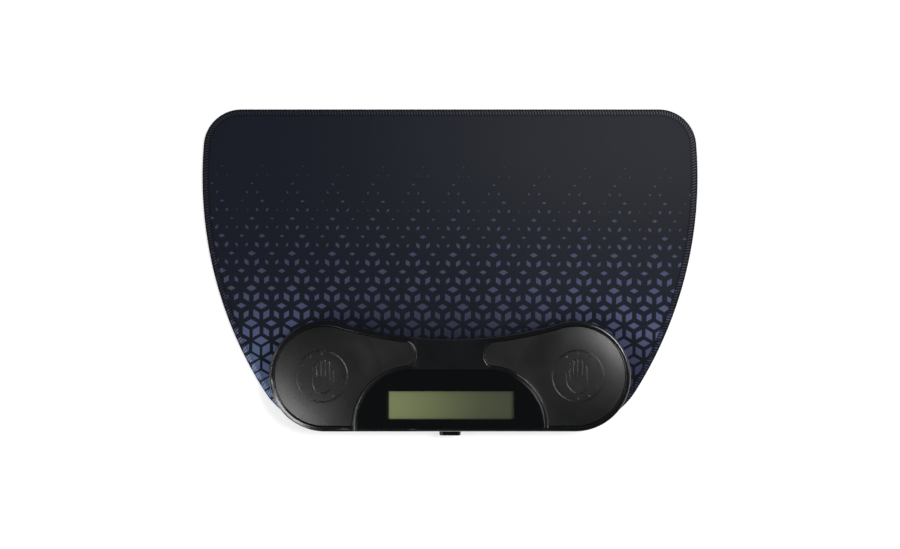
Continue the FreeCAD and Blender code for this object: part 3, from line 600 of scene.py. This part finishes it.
@dataclass(frozen=True)
class Display(Finish):
    """The blank reflective display: painted shade darkens it towards the right, and a soft dark
    border round the part that shows is partly the panel's own mask and partly a painted shadow of
    the window's edge.
    """

    dark_shade: str = "#4f523f"
    mask_and_shadow_shade: str = "#15170f"
    half_width: float = 46.3
    half_depth: float = 10.9
    middle_x: float = 1.1
    middle_y: float = -99.73
    mask_and_shadow_width: float = 1.0
    painted_shade_x: Span = (-60.0, 40.0)

    def inputs(self, graph: Graph) -> dict:
        """See Finish.inputs."""
        inputs = super().inputs(graph)
        # Painted shade: the display is lit on the left and grows darker towards the right.
        painted_shade_right = graph.x.ramp(*self.painted_shade_x)
        lit = graph.mix(painted_shade_right, srgb(self.shade), srgb(self.dark_shade))
        # A soft dark border round the part that shows: partly the panel's own mask, partly a
        # painted shadow of the window's edge.
        inner_x, inner_y = self.half_width - self.mask_and_shadow_width, self.half_depth - self.mask_and_shadow_width
        shown = abs(graph.x - self.middle_x).ramp(self.half_width, inner_x)
        shown = shown * abs(graph.y - self.middle_y).ramp(self.half_depth, inner_y)
        inputs["Base Color"] = graph.mix(shown, srgb(self.mask_and_shadow_shade), lit)
        return inputs


@dataclass(frozen=True)
class ClearPlastic(Finish):
    """Clear plastic: see-through, with reflections that grow at a slant."""

    ior: float = 1.45

    def material(self) -> bpy.types.Material:
        """Build the material."""
        graph = Graph(self.name)
        inputs = self.inputs(graph)
        through = graph.node("ShaderNodeBsdfTransparent", links={"Color": srgb(self.shade)})
        links = {"Roughness": self.roughness, "Normal": inputs["Normal"]}
        shine = graph.node("ShaderNodeBsdfGlossy", links=links)
        fresnel = graph.node("ShaderNodeFresnel", links={"IOR": self.ior})
        slant = Field(graph.tree, fresnel.outputs[0])
        behind = graph.node("ShaderNodeNewGeometry").outputs["Backfacing"]
        share = slant * (Field(graph.tree, behind) * -1.0 + 1.0)
        links = {0: share, 1: through.outputs[0], 2: shine.outputs[0]}
        blend = graph.node("ShaderNodeMixShader", links=links)
        graph.node("ShaderNodeOutputMaterial", links={"Surface": blend.outputs[0]})
        return graph.material


@dataclass(frozen=True)
class CircuitBoard(Finish):
    """Green board with lighter copper runs under the lacquer."""

    run_shade: str = "#1f6a3c"
    pitch: float = 1.1
    gap: float = 0.35
    patch: float = 7.0

    def inputs(self, graph: Graph) -> dict:
        """See Finish.inputs."""
        inputs = super().inputs(graph)
        patches = (graph.x.wave(self.patch * 2) * graph.y.wave(self.patch * 2)).above(0.0)
        upright = graph.x.wave(self.pitch).above(self.gap)
        level = graph.y.wave(self.pitch).above(self.gap)
        runs = level + (upright - level) * patches
        inputs["Base Color"] = graph.mix(runs, srgb(self.shade), srgb(self.run_shade))
        inputs["Normal"] = graph.relief(runs, self.depth, self.edge)
        return inputs


@dataclass(frozen=True)
class Striped(Finish):
    """Stuff with even stripes across X."""

    stripe_shade: str = "#202020"
    pitch: float = 0.6

    def inputs(self, graph: Graph) -> dict:
        """See Finish.inputs."""
        inputs = super().inputs(graph)
        stripes = graph.x.wave(self.pitch).above(0.0)
        inputs["Base Color"] = graph.mix(stripes, srgb(self.shade), srgb(self.stripe_shade))
        return inputs


@dataclass(frozen=True)
class CellJacket(Finish):
    """The foil sleeve of a cell: a bright band at the plus end and bare metal at both tips."""

    band_shade: str = "#b8863c"
    metal_shade: str = "#b9bcc0"
    middle_y: float = -66.5
    half_length: float = 25.1
    band_length: float = 9.0
    tip: float = 1.2
    base: float = 6.0

    def inputs(self, graph: Graph) -> dict:
        """See Finish.inputs."""
        inputs = super().inputs(graph)
        way = graph.y.above(self.middle_y) * -2.0 + 1.0
        along = graph.x * way
        band = along.above(self.half_length - self.band_length)
        bare = along.above(self.half_length - self.tip)
        bare = bare.largest((along * -1.0).above(self.half_length - self.base))
        sleeve = graph.mix(band, srgb(self.shade), srgb(self.band_shade))
        inputs["Base Color"] = graph.mix(bare, sleeve, srgb(self.metal_shade))
        inputs["Metallic"] = bare
        return inputs


@dataclass(frozen=True)
class WirePair(Finish):
    """Two wire sleeves, one colour on each side of the middle."""

    left_shade: str = "#15161a"

    def inputs(self, graph: Graph) -> dict:
        """See Finish.inputs."""
        inputs = super().inputs(graph)
        right = graph.x.above(0.0)
        inputs["Base Color"] = graph.mix(right, srgb(self.left_shade), srgb(self.shade))
        return inputs


@functools.cache
def shared_material(finish: Finish) -> bpy.types.Material:
    """The one material of a finish, made when it is first asked for."""
    return finish.material()


# Moulded ABS with a fine grain, lightly matte: wide, soft highlights and near-black elsewhere.
PAD = DomedPad("matte_pad", "#08090a", 0.27, specular=0.5, grain=0.22, depth=0.004, edge=0.35)
# Spun polyester round the edge and knitted polyester on top: no gloss, colour only.
THREAD = PrintedThread(
    "overlock_thread", "#2b2d3a", 0.8, specular=0.1, grain=0.25, depth=0.05, edge=0.04,
    lit_right_shade="#52535c", far_print="#343645", lit_corner_print="#a9c0ec",
)
CLOTH = PrintedCloth("printed_cloth", "#1b1e26", 0.9, specular=0.0, depth=0.05, edge=0.05)
# Moulded rubber: dull all over.
FOOT = Finish("foot_rubber", "#1c1d1e", 0.82, specular=0.2, grain=0.5, depth=0.02)

# Open-cell rubber is dull, and the moulded ABS shells are satin to gloss. The fascia and the clear
# window are polished. The lacquered board, nickel, zinc, steel and copper shine in their colours.
NODE_FINISHES: dict[str, Finish] = {
    "mat_base": Waffle("foam_rubber", "#121314", 0.86, specular=0.2, depth=0.3, edge=0.05),
    # The CAD stitching band lies below the stitches' crests, so the thread's painted shade makes it
    # a dark bed under them.
    "mat_edge_stitching": THREAD,
    "top_shell": CaseShell("satin_case", "#0c0d10", 0.13, specular=0.8, grain=0.25, edge=0.45),
    "bottom_shell": CaseShell("satin_case_lower", "#141518", 0.42, grain=0.25, depth=0.01,
                              edge=0.15),
    "battery_door": Finish("satin_case_door", "#16171a", 0.42, grain=0.25, depth=0.01, edge=0.15),
    "left_touch_pad": PAD,
    "right_touch_pad": PAD,
    "display_fascia": Finish("gloss_fascia", "#0b0c0d", 0.07, grain=6.0, depth=0.002, edge=0.15),
    "display_window": ClearPlastic("clear_window", "#f4f6f4", 0.03, grain=9.0, depth=0.001,
                                   edge=0.1),
    "lcd_panel": Display("lcd_glass", "#8e9369", 0.32, specular=0.3),
    "lcd_frame": Finish("white_plastic", "#d9dad6", 0.5),
    "lcd_connector_strips": Striped("silicone_strip", "#e3a9b4", 0.6, stripe_shade="#2b2326"),
    "main_board": CircuitBoard("circuit_board", "#0f4527", 0.34, depth=0.04),
    "microcontroller": Finish("chip_resin", "#17181a", 0.6, grain=0.12),
    "crystal": Finish("nickel_can", "#b4b6b9", 0.28, metallic=1.0),
    "board_capacitors": Striped("capacitor_ceramic", "#a98a62", 0.45, stripe_shade="#9a7c57",
                                pitch=1.6),
    "board_screws": Finish("zinc_steel_small", "#9c9fa4", 0.32, metallic=1.0, edge=0.08),
    "case_screws": Finish("zinc_steel", "#8e9196", 0.34, metallic=1.0, edge=0.12),
    "button_switch": Finish("switch_case", "#1a1a1c", 0.5),
    "switch_plunger": Finish("switch_stem", "#d8d4c8", 0.4),
    "front_button": Finish("gloss_button", "#0d0e10", 0.12, grain=4.0, depth=0.002, edge=0.2),
    "left_sensor_plate": Finish("copper_foil", "#b8733f", 0.3, metallic=1.0, grain=2.0,
                                depth=0.01),
    "right_sensor_plate": Finish("copper_foil_right", "#b8733f", 0.3, metallic=1.0, grain=2.0,
                                 depth=0.01),
    "sensor_leads": WirePair("wire_sleeve", "#d9d4c4", 0.45, left_shade="#d9d4c4"),
    "battery_leads": WirePair("battery_wire_sleeve", "#a3201c", 0.45),
    "aaa_cells": CellJacket("cell_jacket", "#23262b", 0.3, specular=0.6),
    "battery_contacts": Finish("contact_steel", "#c3c4c2", 0.3, metallic=1.0),
    "battery_springs": Finish("spring_steel", "#b3b5b6", 0.3, metallic=1.0, edge=0.02),
}


# -------- Modelling helpers --------


def select_only(piece: bpy.types.Object) -> None:
    """Make one object the only selected one, and active."""
    bpy.ops.object.select_all(action="DESELECT")
    piece.select_set(True)
    bpy.context.view_layer.objects.active = piece


def made_piece(name: str) -> bpy.types.Object:
    """Name the object that an operator has just added."""
    piece = bpy.context.active_object
    piece.name = piece.data.name = name
    return piece


def tubes(name: str, radius: float, sides: int, runs: Iterable[Run]) -> bpy.types.Object:
    """Round bars along many paths, as one mesh.

    Args:
        name: The piece's name.
        radius: The bars' radius in millimetres.
        sides: How finely each bar is rounded, 0 for four sides.
        runs: For each bar its points in millimetres, a factor on the radius, and whether it
            closes to a ring.

    Returns:
        The new piece.
    """
    bpy.ops.object.select_all(action="DESELECT")
    bpy.ops.curve.primitive_nurbs_path_add(location=(0, 0, 0))
    piece = made_piece(name)
    curve = piece.data
    curve.splines.clear()
    curve.dimensions = "3D"
    curve.bevel_depth = radius * MM
    curve.bevel_resolution = sides
    curve.use_fill_caps = True
    for points, factor, ring in runs:
        spline = curve.splines.new("POLY")
        spline.points.add(len(points) - 1)
        for target, (x, y, z) in zip(spline.points, points):
            target.co = (x * MM, y * MM, z * MM, 1.0)
            target.radius = factor
        spline.use_cyclic_u = ring
        spline.use_smooth = True
    select_only(piece)
    bpy.ops.object.convert(target="MESH")
    bpy.ops.object.shade_smooth_by_angle(angle=math.radians(BAR_CREASE))
    return bpy.context.active_object


def attach(piece: bpy.types.Object, body: Body, finish: Finish) -> None:
    """Give a piece its body and its finish's material, and report it in the log."""
    piece.data.materials.clear()
    piece.data.materials.append(shared_material(finish))
    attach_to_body(piece, body.value)
    LOG.info("%s: %d faces on %s", piece.name, len(piece.data.polygons), body.value)


# -------- Mat --------


@dataclass(frozen=True)
class MatOutline:
    """The mat's plan: bowed sides that close towards the front and four round corners."""

    half_width: float = 184.0
    back: float = 118.3
    front: float = -118.6
    side_radius: float = 298.0
    widest: float = 68.4
    back_corner: float = 27.5
    front_corner: float = 60.0

    def corner(self, edge: float, radius: float, inward: float) -> tuple[float, float, float]:
        """The right-hand corner's middle, and the angle at which it meets the side.

        Args:
            edge: The y of the straight edge.
            radius: The corner's radius.
            inward: -1 at the back and 1 at the front.

        Returns:
            The middle's x and y, and the angle in radians.
        """
        side_x = self.half_width - self.side_radius
        y = edge + inward * radius
        x = side_x + math.sqrt((self.side_radius - radius) ** 2 - (y - self.widest) ** 2)
        return x, y, math.atan2(y - self.widest, x - side_x)

    def arcs(self) -> list[tuple[float, float, float, float, float]]:
        """The outline's arcs, counter-clockwise: middle, radius, first and last angle."""
        side_x = self.half_width - self.side_radius
        back_x, back_y, back = self.corner(self.back, self.back_corner, -1)
        front_x, front_y, front = self.corner(self.front, self.front_corner, 1)
        turn = math.pi
        return [
            (side_x, self.widest, self.side_radius, front, back),
            (back_x, back_y, self.back_corner, back, turn / 2),
            (-back_x, back_y, self.back_corner, turn / 2, turn - back),
            (-side_x, self.widest, self.side_radius, turn - back, turn - front),
            (-front_x, front_y, self.front_corner, turn - front, 1.5 * turn),
            (front_x, front_y, self.front_corner, 1.5 * turn, 2 * turn + front),
        ]

    def walk(self, pitch: float) -> list[tuple[float, float, float]]:
        """Even steps round the edge.

        Args:
            pitch: About how far apart the steps are, in millimetres.

        Returns:
            For each step its x and y, and the outward angle in radians.
        """
        arcs = self.arcs()
        runs = []
        for number, (x, y, radius, first, last) in enumerate(arcs):
            runs.append((x, y, radius, first, last, radius * (last - first)))
            after = arcs[(number + 1) % len(arcs)]
            start = (x + radius * math.cos(last), y + radius * math.sin(last))
            end = (after[0] + after[2] * math.cos(after[3]),
                   after[1] + after[2] * math.sin(after[3]))
            gap = math.dist(start, end)
            if gap > pitch:
                runs.append((*start, 0.0, last, last, gap))
        total = sum(run[-1] for run in runs)
        count = round(total / pitch)
        steps, passed, current = [], 0.0, 0
        for number in range(count):
            reach = number * total / count
            while reach > passed + runs[current][-1]:
                passed += runs[current][-1]
                current += 1
            x, y, radius, first, last, length = runs[current]
            along = reach - passed
            angle = first + (last - first) * along / length
            if radius:
                place = (x + radius * math.cos(angle), y + radius * math.sin(angle))
            else:
                place = (x - along * math.sin(angle), y + along * math.cos(angle))
            steps.append((*place, angle))
        return steps


@dataclass(frozen=True)
class Mat:
    """The mat's printed cloth and the overlock stitching round its edge."""

    outline: MatOutline = MatOutline()
    pitch: float = 2.1
    thread: float = 0.5
    slant: float = 1.1
    edge_thread: float = 0.3
    lock_reach: float = 0.25
    lock_level: float = 1.65
    lock_swing: float = 0.45
    needle_inset: float = 4.0
    needle_level: float = 3.0
    cloth_weld: float = 0.02
    cloth_top: float = 0.01
    cloth_flatness: float = 0.5
    cloth_round: float = 0.5
    cloth_steps: int = 4
    cloth_crease: float = 35.0
    cloth_area: float = 0.0783
    cloth_size: tuple[float, float] = (0.368, 0.2368)
    wrap: tuple[tuple[float, float, float], ...] = (
        (3.75, 2.90, -1.0), (3.35, 3.25, -0.9), (2.30, 3.42, -0.5), (1.30, 3.34, -0.1),
        (0.55, 2.95, 0.2), (0.15, 2.20, 0.4), (0.15, 1.20, 0.6), (0.45, 0.66, 0.8),
        (1.40, 0.52, 1.0),
    )

    def cloth(self) -> bpy.types.Object:
        """The printed cloth, with a softened edge, in place of its plain solid."""
        select_only(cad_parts["mat_fabric"])
        bpy.ops.object.duplicate()
        piece = made_piece("mat_printed_cloth")
        bpy.ops.object.mode_set(mode="EDIT")
        bpy.ops.mesh.select_all(action="SELECT")
        bpy.ops.mesh.remove_doubles(threshold=self.cloth_weld * MM)
        bpy.ops.mesh.dissolve_limited(angle_limit=math.radians(self.cloth_flatness))
        bpy.ops.mesh.select_all(action="DESELECT")
        bpy.ops.object.mode_set(mode="OBJECT")
        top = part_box("mat_fabric")[1][2] - self.cloth_top * MM
        for edge in piece.data.edges:
            ends = [piece.data.vertices[number].co.z for number in edge.vertices]
            edge.select = min(ends) > top
        bpy.ops.object.mode_set(mode="EDIT")
        bpy.ops.mesh.bevel(offset=self.cloth_round * MM, segments=self.cloth_steps)
        bpy.ops.object.mode_set(mode="OBJECT")
        bpy.ops.object.shade_smooth_by_angle(angle=math.radians(self.cloth_crease))
        attach(piece, Body.MAT, CLOTH)
        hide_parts("mat_fabric")
        return piece

    def beside(self, step: Point, out: float, along: float, level: float) -> Point:
        """A point near a step of the outline.

        Args:
            step: The step's x and y, and its outward angle.
            out: How far outwards the point lies.
            along: How far onwards round the edge.
            level: Its height.

        Returns:
            The point in millimetres.
        """
        x, y, angle = step
        east, north = math.cos(angle), math.sin(angle)
        return (x + east * out - north * along, y + north * out + east * along, level)

    def stitching(self) -> bpy.types.Object:
        """Slanting stitches wrapped round the edge, and the wavy thread that locks them."""
        steps = self.outline.walk(self.pitch)
        runs = []
        for step in steps:
            stitch = [
                self.beside(step, -depth, share * self.slant, level)
                for depth, level, share in self.wrap
            ]
            runs.append((stitch, 1.0, False))
        lock = []
        for number, step in enumerate(self.outline.walk(self.pitch / 2)):
            swing = self.lock_swing if number % 2 else -self.lock_swing
            lock.append(self.beside(step, self.lock_reach, 0.0, self.lock_level + swing))
        runs.append((lock, self.edge_thread / self.thread, True))
        # The needle thread lies low, so the thread's painted shade draws it as a dark line inside
        # the stitches.
        needle = [self.beside(step, -self.needle_inset, 0.0, self.needle_level) for step in steps]
        runs.append((needle, 1.0, True))
        piece = tubes("mat_overlock_stitching", self.thread, 1, runs)
        attach(piece, Body.MAT, THREAD)
        return piece

    def build(self) -> None:
        """Make the mat's soft pieces: the printed cloth and its stitching."""
        cloth, stitching = self.cloth(), self.stitching()


# -------- Timer --------


@dataclass(frozen=True)
class PadEmblem:
    """The fine moulded lines on a touch pad: a ring with twelve ticks and an open hand."""

    middle_x: float = 93.8
    middle_y: float = -78.6
    level: float = 23.86
    line: float = 0.9
    ring_radius: float = 18.9
    ring_weight: float = 1.1
    ring_step: int = 5
    ticks: int = 12
    tick_radius: float = 16.4
    tick_length: float = 1.3
    tick_weight: float = 1.12
    quarter_stretch: float = 1.4
    tip_steps: int = 8
    fingers: tuple[tuple[float, float, float, float], ...] = (
        (-7.45, 3.7, 1.15, -3.2), (-4.45, 11.0, 1.20, 0.2), (-1.50, 12.0, 1.30, 0.2),
        (1.85, 11.1, 1.40, 0.2), (5.15, 7.2, 1.35, -0.5),
    )
    palm: tuple[tuple[float, float], ...] = (
        (6.7, -3.5), (6.6, -6.5), (5.8, -9.0), (4.4, -11.2), (2.6, -12.3), (0.0, -12.5),
        (-2.4, -12.3), (-4.4, -11.0), (-6.4, -8.9), (-8.0, -6.4), (-8.6, -3.6),
    )

    def hand(self) -> list[tuple[float, float]]:
        """The hand's outline, thumb to the left, about the emblem's middle."""
        outline = []
        for x, tip, radius, base in self.fingers:
            outline.append((x - radius, base))
            for number in range(self.tip_steps + 1):
                angle = math.pi * (1 - number / self.tip_steps)
                height = tip - radius + radius * math.sin(angle)
                outline.append((x + radius * math.cos(angle), height))
            outline.append((x + radius, base))
        return outline + list(self.palm)

    def build(self, side: Side) -> bpy.types.Object:
        """Make one pad's emblem.

        Args:
            side: Which pad it is on; the left hand mirrors the right one.

        Returns:
            The emblem's piece.
        """
        def placed(x: float, y: float) -> Point:
            """A point of the emblem on this pad."""
            return (side.value * (x + self.middle_x), y + self.middle_y, self.level)

        def turned(reach: float, angle: float) -> Point:
            """A point at a distance and an angle from the emblem's middle."""
            return placed(reach * math.cos(angle), reach * math.sin(angle))

        ring = [
            turned(self.ring_radius, math.radians(angle)) for angle in range(0, 360, self.ring_step)
        ]
        hand = [placed(x, y) for x, y in self.hand()]
        runs = [(ring, self.ring_weight, True), (hand, 1.0, True)]
        for number in range(self.ticks):
            angle = number * math.pi / (self.ticks / 2)
            quarter = number % (self.ticks // 4) == 0
            half = self.tick_length * (self.quarter_stretch if quarter else 1.0) / 2
            ends = (self.tick_radius - half, self.tick_radius + half)
            runs.append(([turned(end, angle) for end in ends], self.tick_weight, False))
        piece = tubes(f"{side.name.lower()}_pad_emblem", self.line, 3, runs)
        attach(piece, Body.TIMER, PAD)
        return piece


@dataclass(frozen=True)
class RubberFeet:
    """Four stuck-on feet with a rounded rim and a shallow dish underneath."""

    x: float = 98.0
    y: float = -78.6
    spread: float = 25.0
    radius: float = 6.0
    low: float = 3.0
    height: float = 2.5
    rim: float = 0.5
    rim_steps: int = 3
    dish: float = 0.35
    border: float = 1.4
    sides: int = 40
    crease: float = 40.0

    def build(self) -> bpy.types.Object:
        """Model one foot, copy it to its four places and join the copies."""
        feet = []
        for side in Side:
            for way in (-1, 1):
                place = (side.value * self.x * MM, (self.y + way * self.spread) * MM,
                         (self.low + self.height / 2) * MM)
                feet.append(self.copy(feet[0], place) if feet else self.foot(place))
        bpy.ops.object.select_all(action="DESELECT")
        for foot in feet:
            foot.select_set(True)
        bpy.context.view_layer.objects.active = feet[0]
        bpy.ops.object.join()
        bpy.ops.object.transform_apply(location=True, rotation=True, scale=True)
        bpy.ops.object.shade_smooth_by_angle(angle=math.radians(self.crease))
        piece = made_piece("rubber_foot_set")
        attach(piece, Body.TIMER, FOOT)
        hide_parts("rubber_feet")
        return piece

    def foot(self, place: Point) -> bpy.types.Object:
        """One foot at a place, dished in its underside."""
        bpy.ops.object.select_all(action="DESELECT")
        bpy.ops.mesh.primitive_cylinder_add(
            vertices=self.sides, radius=self.radius * MM, depth=self.height * MM, location=place
        )
        foot = bpy.context.active_object
        bpy.ops.object.mode_set(mode="EDIT")
        bpy.ops.mesh.select_all(action="DESELECT")
        bpy.ops.object.mode_set(mode="OBJECT")
        for face in foot.data.polygons:
            face.select = face.normal.z < -0.9
        bpy.ops.object.mode_set(mode="EDIT")
        bpy.ops.mesh.bevel(offset=self.rim * MM, segments=self.rim_steps)
        bpy.ops.mesh.inset(thickness=self.border * MM)
        bpy.ops.mesh.extrude_region_move(TRANSFORM_OT_translate={"value": (0, 0, self.dish * MM)})
        bpy.ops.object.mode_set(mode="OBJECT")
        return foot

    def copy(self, foot: bpy.types.Object, place: Point) -> bpy.types.Object:
        """A copy of the first foot with its own mesh, moved to another place."""
        select_only(foot)
        bpy.ops.object.duplicate()
        move = tuple(end - begin for begin, end in zip(foot.location, place))
        bpy.ops.transform.translate(value=move)
        return bpy.context.active_object


@dataclass(frozen=True)
class CadNodes:
    """Materials and smooth shading for the CAD nodes that stay."""

    weld: float = 0.002
    crease: float = 32.0
    flatness: int = 100

    def build(self) -> None:
        """Dress every CAD node that has a finish."""
        for name, finish in NODE_FINISHES.items():
            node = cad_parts[name]
            if not node.material_slots:
                node.data.materials.append(None)
            for slot in node.material_slots:
                slot.material = shared_material(finish)
            self.smooth(node)
            LOG.info("%s: %s", name, finish.name)

    def smooth(self, node: bpy.types.Object) -> None:
        """Join the loose triangles for shading, and keep the creases sharp."""
        select_only(node)
        bpy.ops.object.shade_smooth()
        weld = node.modifiers.new("weld", "WELD")
        weld.merge_threshold = self.weld * MM
        split = node.modifiers.new("creases", "EDGE_SPLIT")
        split.split_angle = math.radians(self.crease)
        node.modifiers.new("flat_faces", "WEIGHTED_NORMAL").weight = self.flatness


# -------- Studio --------


@dataclass(frozen=True)
class SoftBox:
    """A flat lamp that points at the object, with its width and height; lengths in metres."""

    name: str
    place: Point
    size: tuple[float, float]
    power: float


@dataclass(frozen=True)
class Studio:
    """Camera, pale floor, soft lamps and a plain white surround."""

    camera_height: float = 1.2
    camera_y: float = -0.0042
    lens: float = 64.3
    sensor: float = 36.0
    clip: float = 0.01
    floor_size: float = 12.0
    floor_level: float = -0.0002
    floor_shade: str = "#e9e9e9"
    floor_glow: float = 0.35
    floor_brim: Span = (400.0, 1500.0)
    aim: Point = (0.0, -0.04, 0.01)
    lamps: tuple[SoftBox, ...] = (
        SoftBox("lamp_left", (-0.545, -0.513, 1.4), (0.457, 0.457), 6.5),
        SoftBox("lamp_right", (0.594, 0.199, 1.4), (0.37, 0.37), 9.07),
        SoftBox("strip_left", (-0.87, -0.04, 1.23), (0.5, 0.08), 1.5),
        SoftBox("strip_right", (0.87, 0.04, 1.23), (0.5, 0.08), 1.5),
        SoftBox("lamp_under", (0.0, -0.04, -1.4), (0.9, 0.9), 18.0),
    )
    ambient: float = 0.4
    sides: float = 0.6
    ends: float = 0.12
    overhead: float = 0.02
    side_fade: Span = (0.2, 0.8)
    overhead_fade: Span = (0.5, 0.85)

    def camera(self) -> None:
        """The camera straight above the mat."""
        place = (0.0, self.camera_y, self.camera_height)
        bpy.ops.object.camera_add(location=place, rotation=(0, 0, 0))
        camera = made_piece("camera")
        camera.data.lens = self.lens
        camera.data.sensor_width = self.sensor
        camera.data.clip_start = self.clip
        bpy.context.scene.camera = camera

    def floor(self) -> None:
        """The floor, white with a shadow from above, that lets sight and light in from below."""
        bpy.ops.mesh.primitive_plane_add(size=self.floor_size, location=(0, 0, self.floor_level))
        floor = made_piece("floor")
        graph = Graph("floor_white")
        matt = graph.node("ShaderNodeBsdfDiffuse", links={"Color": srgb(self.floor_shade)})
        paths = graph.node("ShaderNodeLightPath")
        seen = Field(graph.tree, paths.outputs["Is Camera Ray"])
        for ray in ("Is Glossy Ray", "Is Transmission Ray"):
            seen = seen.largest(paths.outputs[ray])
        away = (graph.x * graph.x + graph.y * graph.y).math("SQRT")
        level = away.ramp(*self.floor_brim) * self.floor_glow + self.floor_glow
        links = {"Color": srgb("#ffffff"), "Strength": seen * level}
        glow = graph.node("ShaderNodeEmission", links=links)
        both = graph.node("ShaderNodeAddShader", links={0: matt.outputs[0], 1: glow.outputs[0]})
        below = Field(graph.tree, graph.node("ShaderNodeNewGeometry").outputs["Backfacing"])
        below = below.largest(paths.outputs["Is Shadow Ray"])
        clear = graph.node("ShaderNodeBsdfTransparent")
        links = {0: below, 1: both.outputs[0], 2: clear.outputs[0]}
        sided = graph.node("ShaderNodeMixShader", links=links)
        graph.node("ShaderNodeOutputMaterial", links={"Surface": sided.outputs[0]})
        floor.data.materials.append(graph.material)

    def light(self) -> None:
        """The soft lamps, each turned to the object."""
        for lamp in self.lamps:
            bpy.ops.object.light_add(type="AREA", location=lamp.place)
            made = made_piece(lamp.name)
            made.data.shape = "RECTANGLE"
            made.data.size, made.data.size_y = lamp.size
            made.data.energy = lamp.power
            away = [place - aim for place, aim in zip(lamp.place, self.aim)]
            flat = math.hypot(away[0], away[1])
            tilt, turn = math.atan2(flat, away[2]), math.atan2(away[0], -away[1])
            made.rotation_euler = (tilt, 0.0, turn)

    def surround(self) -> None:
        """A world that is white to the camera, and in reflections pale at the sides, dark above."""
        world = bpy.data.worlds.new("white_surround")
        bpy.context.scene.world = world
        world.use_nodes = True
        tree = world.node_tree
        tree.nodes.clear()
        direction = add_node(tree, "ShaderNodeTexCoord", {}, {}).outputs["Generated"]
        split = add_node(tree, "ShaderNodeSeparateXYZ", {}, {0: direction})
        sideways, height = Field(tree, split.outputs[0]), Field(tree, split.outputs[2])
        level = abs(sideways).ramp(*self.side_fade) * (self.sides - self.ends) + self.ends
        above = height.ramp(*self.overhead_fade)
        mirrored = level + above * (level * -1.0 + self.overhead)
        paths = add_node(tree, "ShaderNodeLightPath", {}, {})
        glossy = Field(tree, paths.outputs["Is Glossy Ray"])
        seen = Field(tree, paths.outputs["Is Camera Ray"])
        seen = seen.largest(paths.outputs["Is Transmission Ray"])
        strength = glossy * (mirrored - self.ambient) + self.ambient
        strength = strength + seen * (strength * -1.0 + 1.0)
        links = {"Color": srgb("#ffffff"), "Strength": strength}
        glow = add_node(tree, "ShaderNodeBackground", {}, links)
        add_node(tree, "ShaderNodeOutputWorld", {}, {"Surface": glow.outputs[0]})

    def build(self) -> None:
        """Set up the whole studio."""
        self.camera()
        self.floor()
        self.light()
        self.surround()
        bpy.context.scene.view_settings.view_transform = "Standard"


def main() -> None:
    """Build every piece in order."""
    logging.basicConfig(level=logging.INFO, format="%(name)s %(message)s")
    Studio().build()
    Mat().build()
    for side in Side:
        PadEmblem().build(side)
    RubberFeet().build()
    CadNodes().build()


if __name__ == "__main__":
    main()
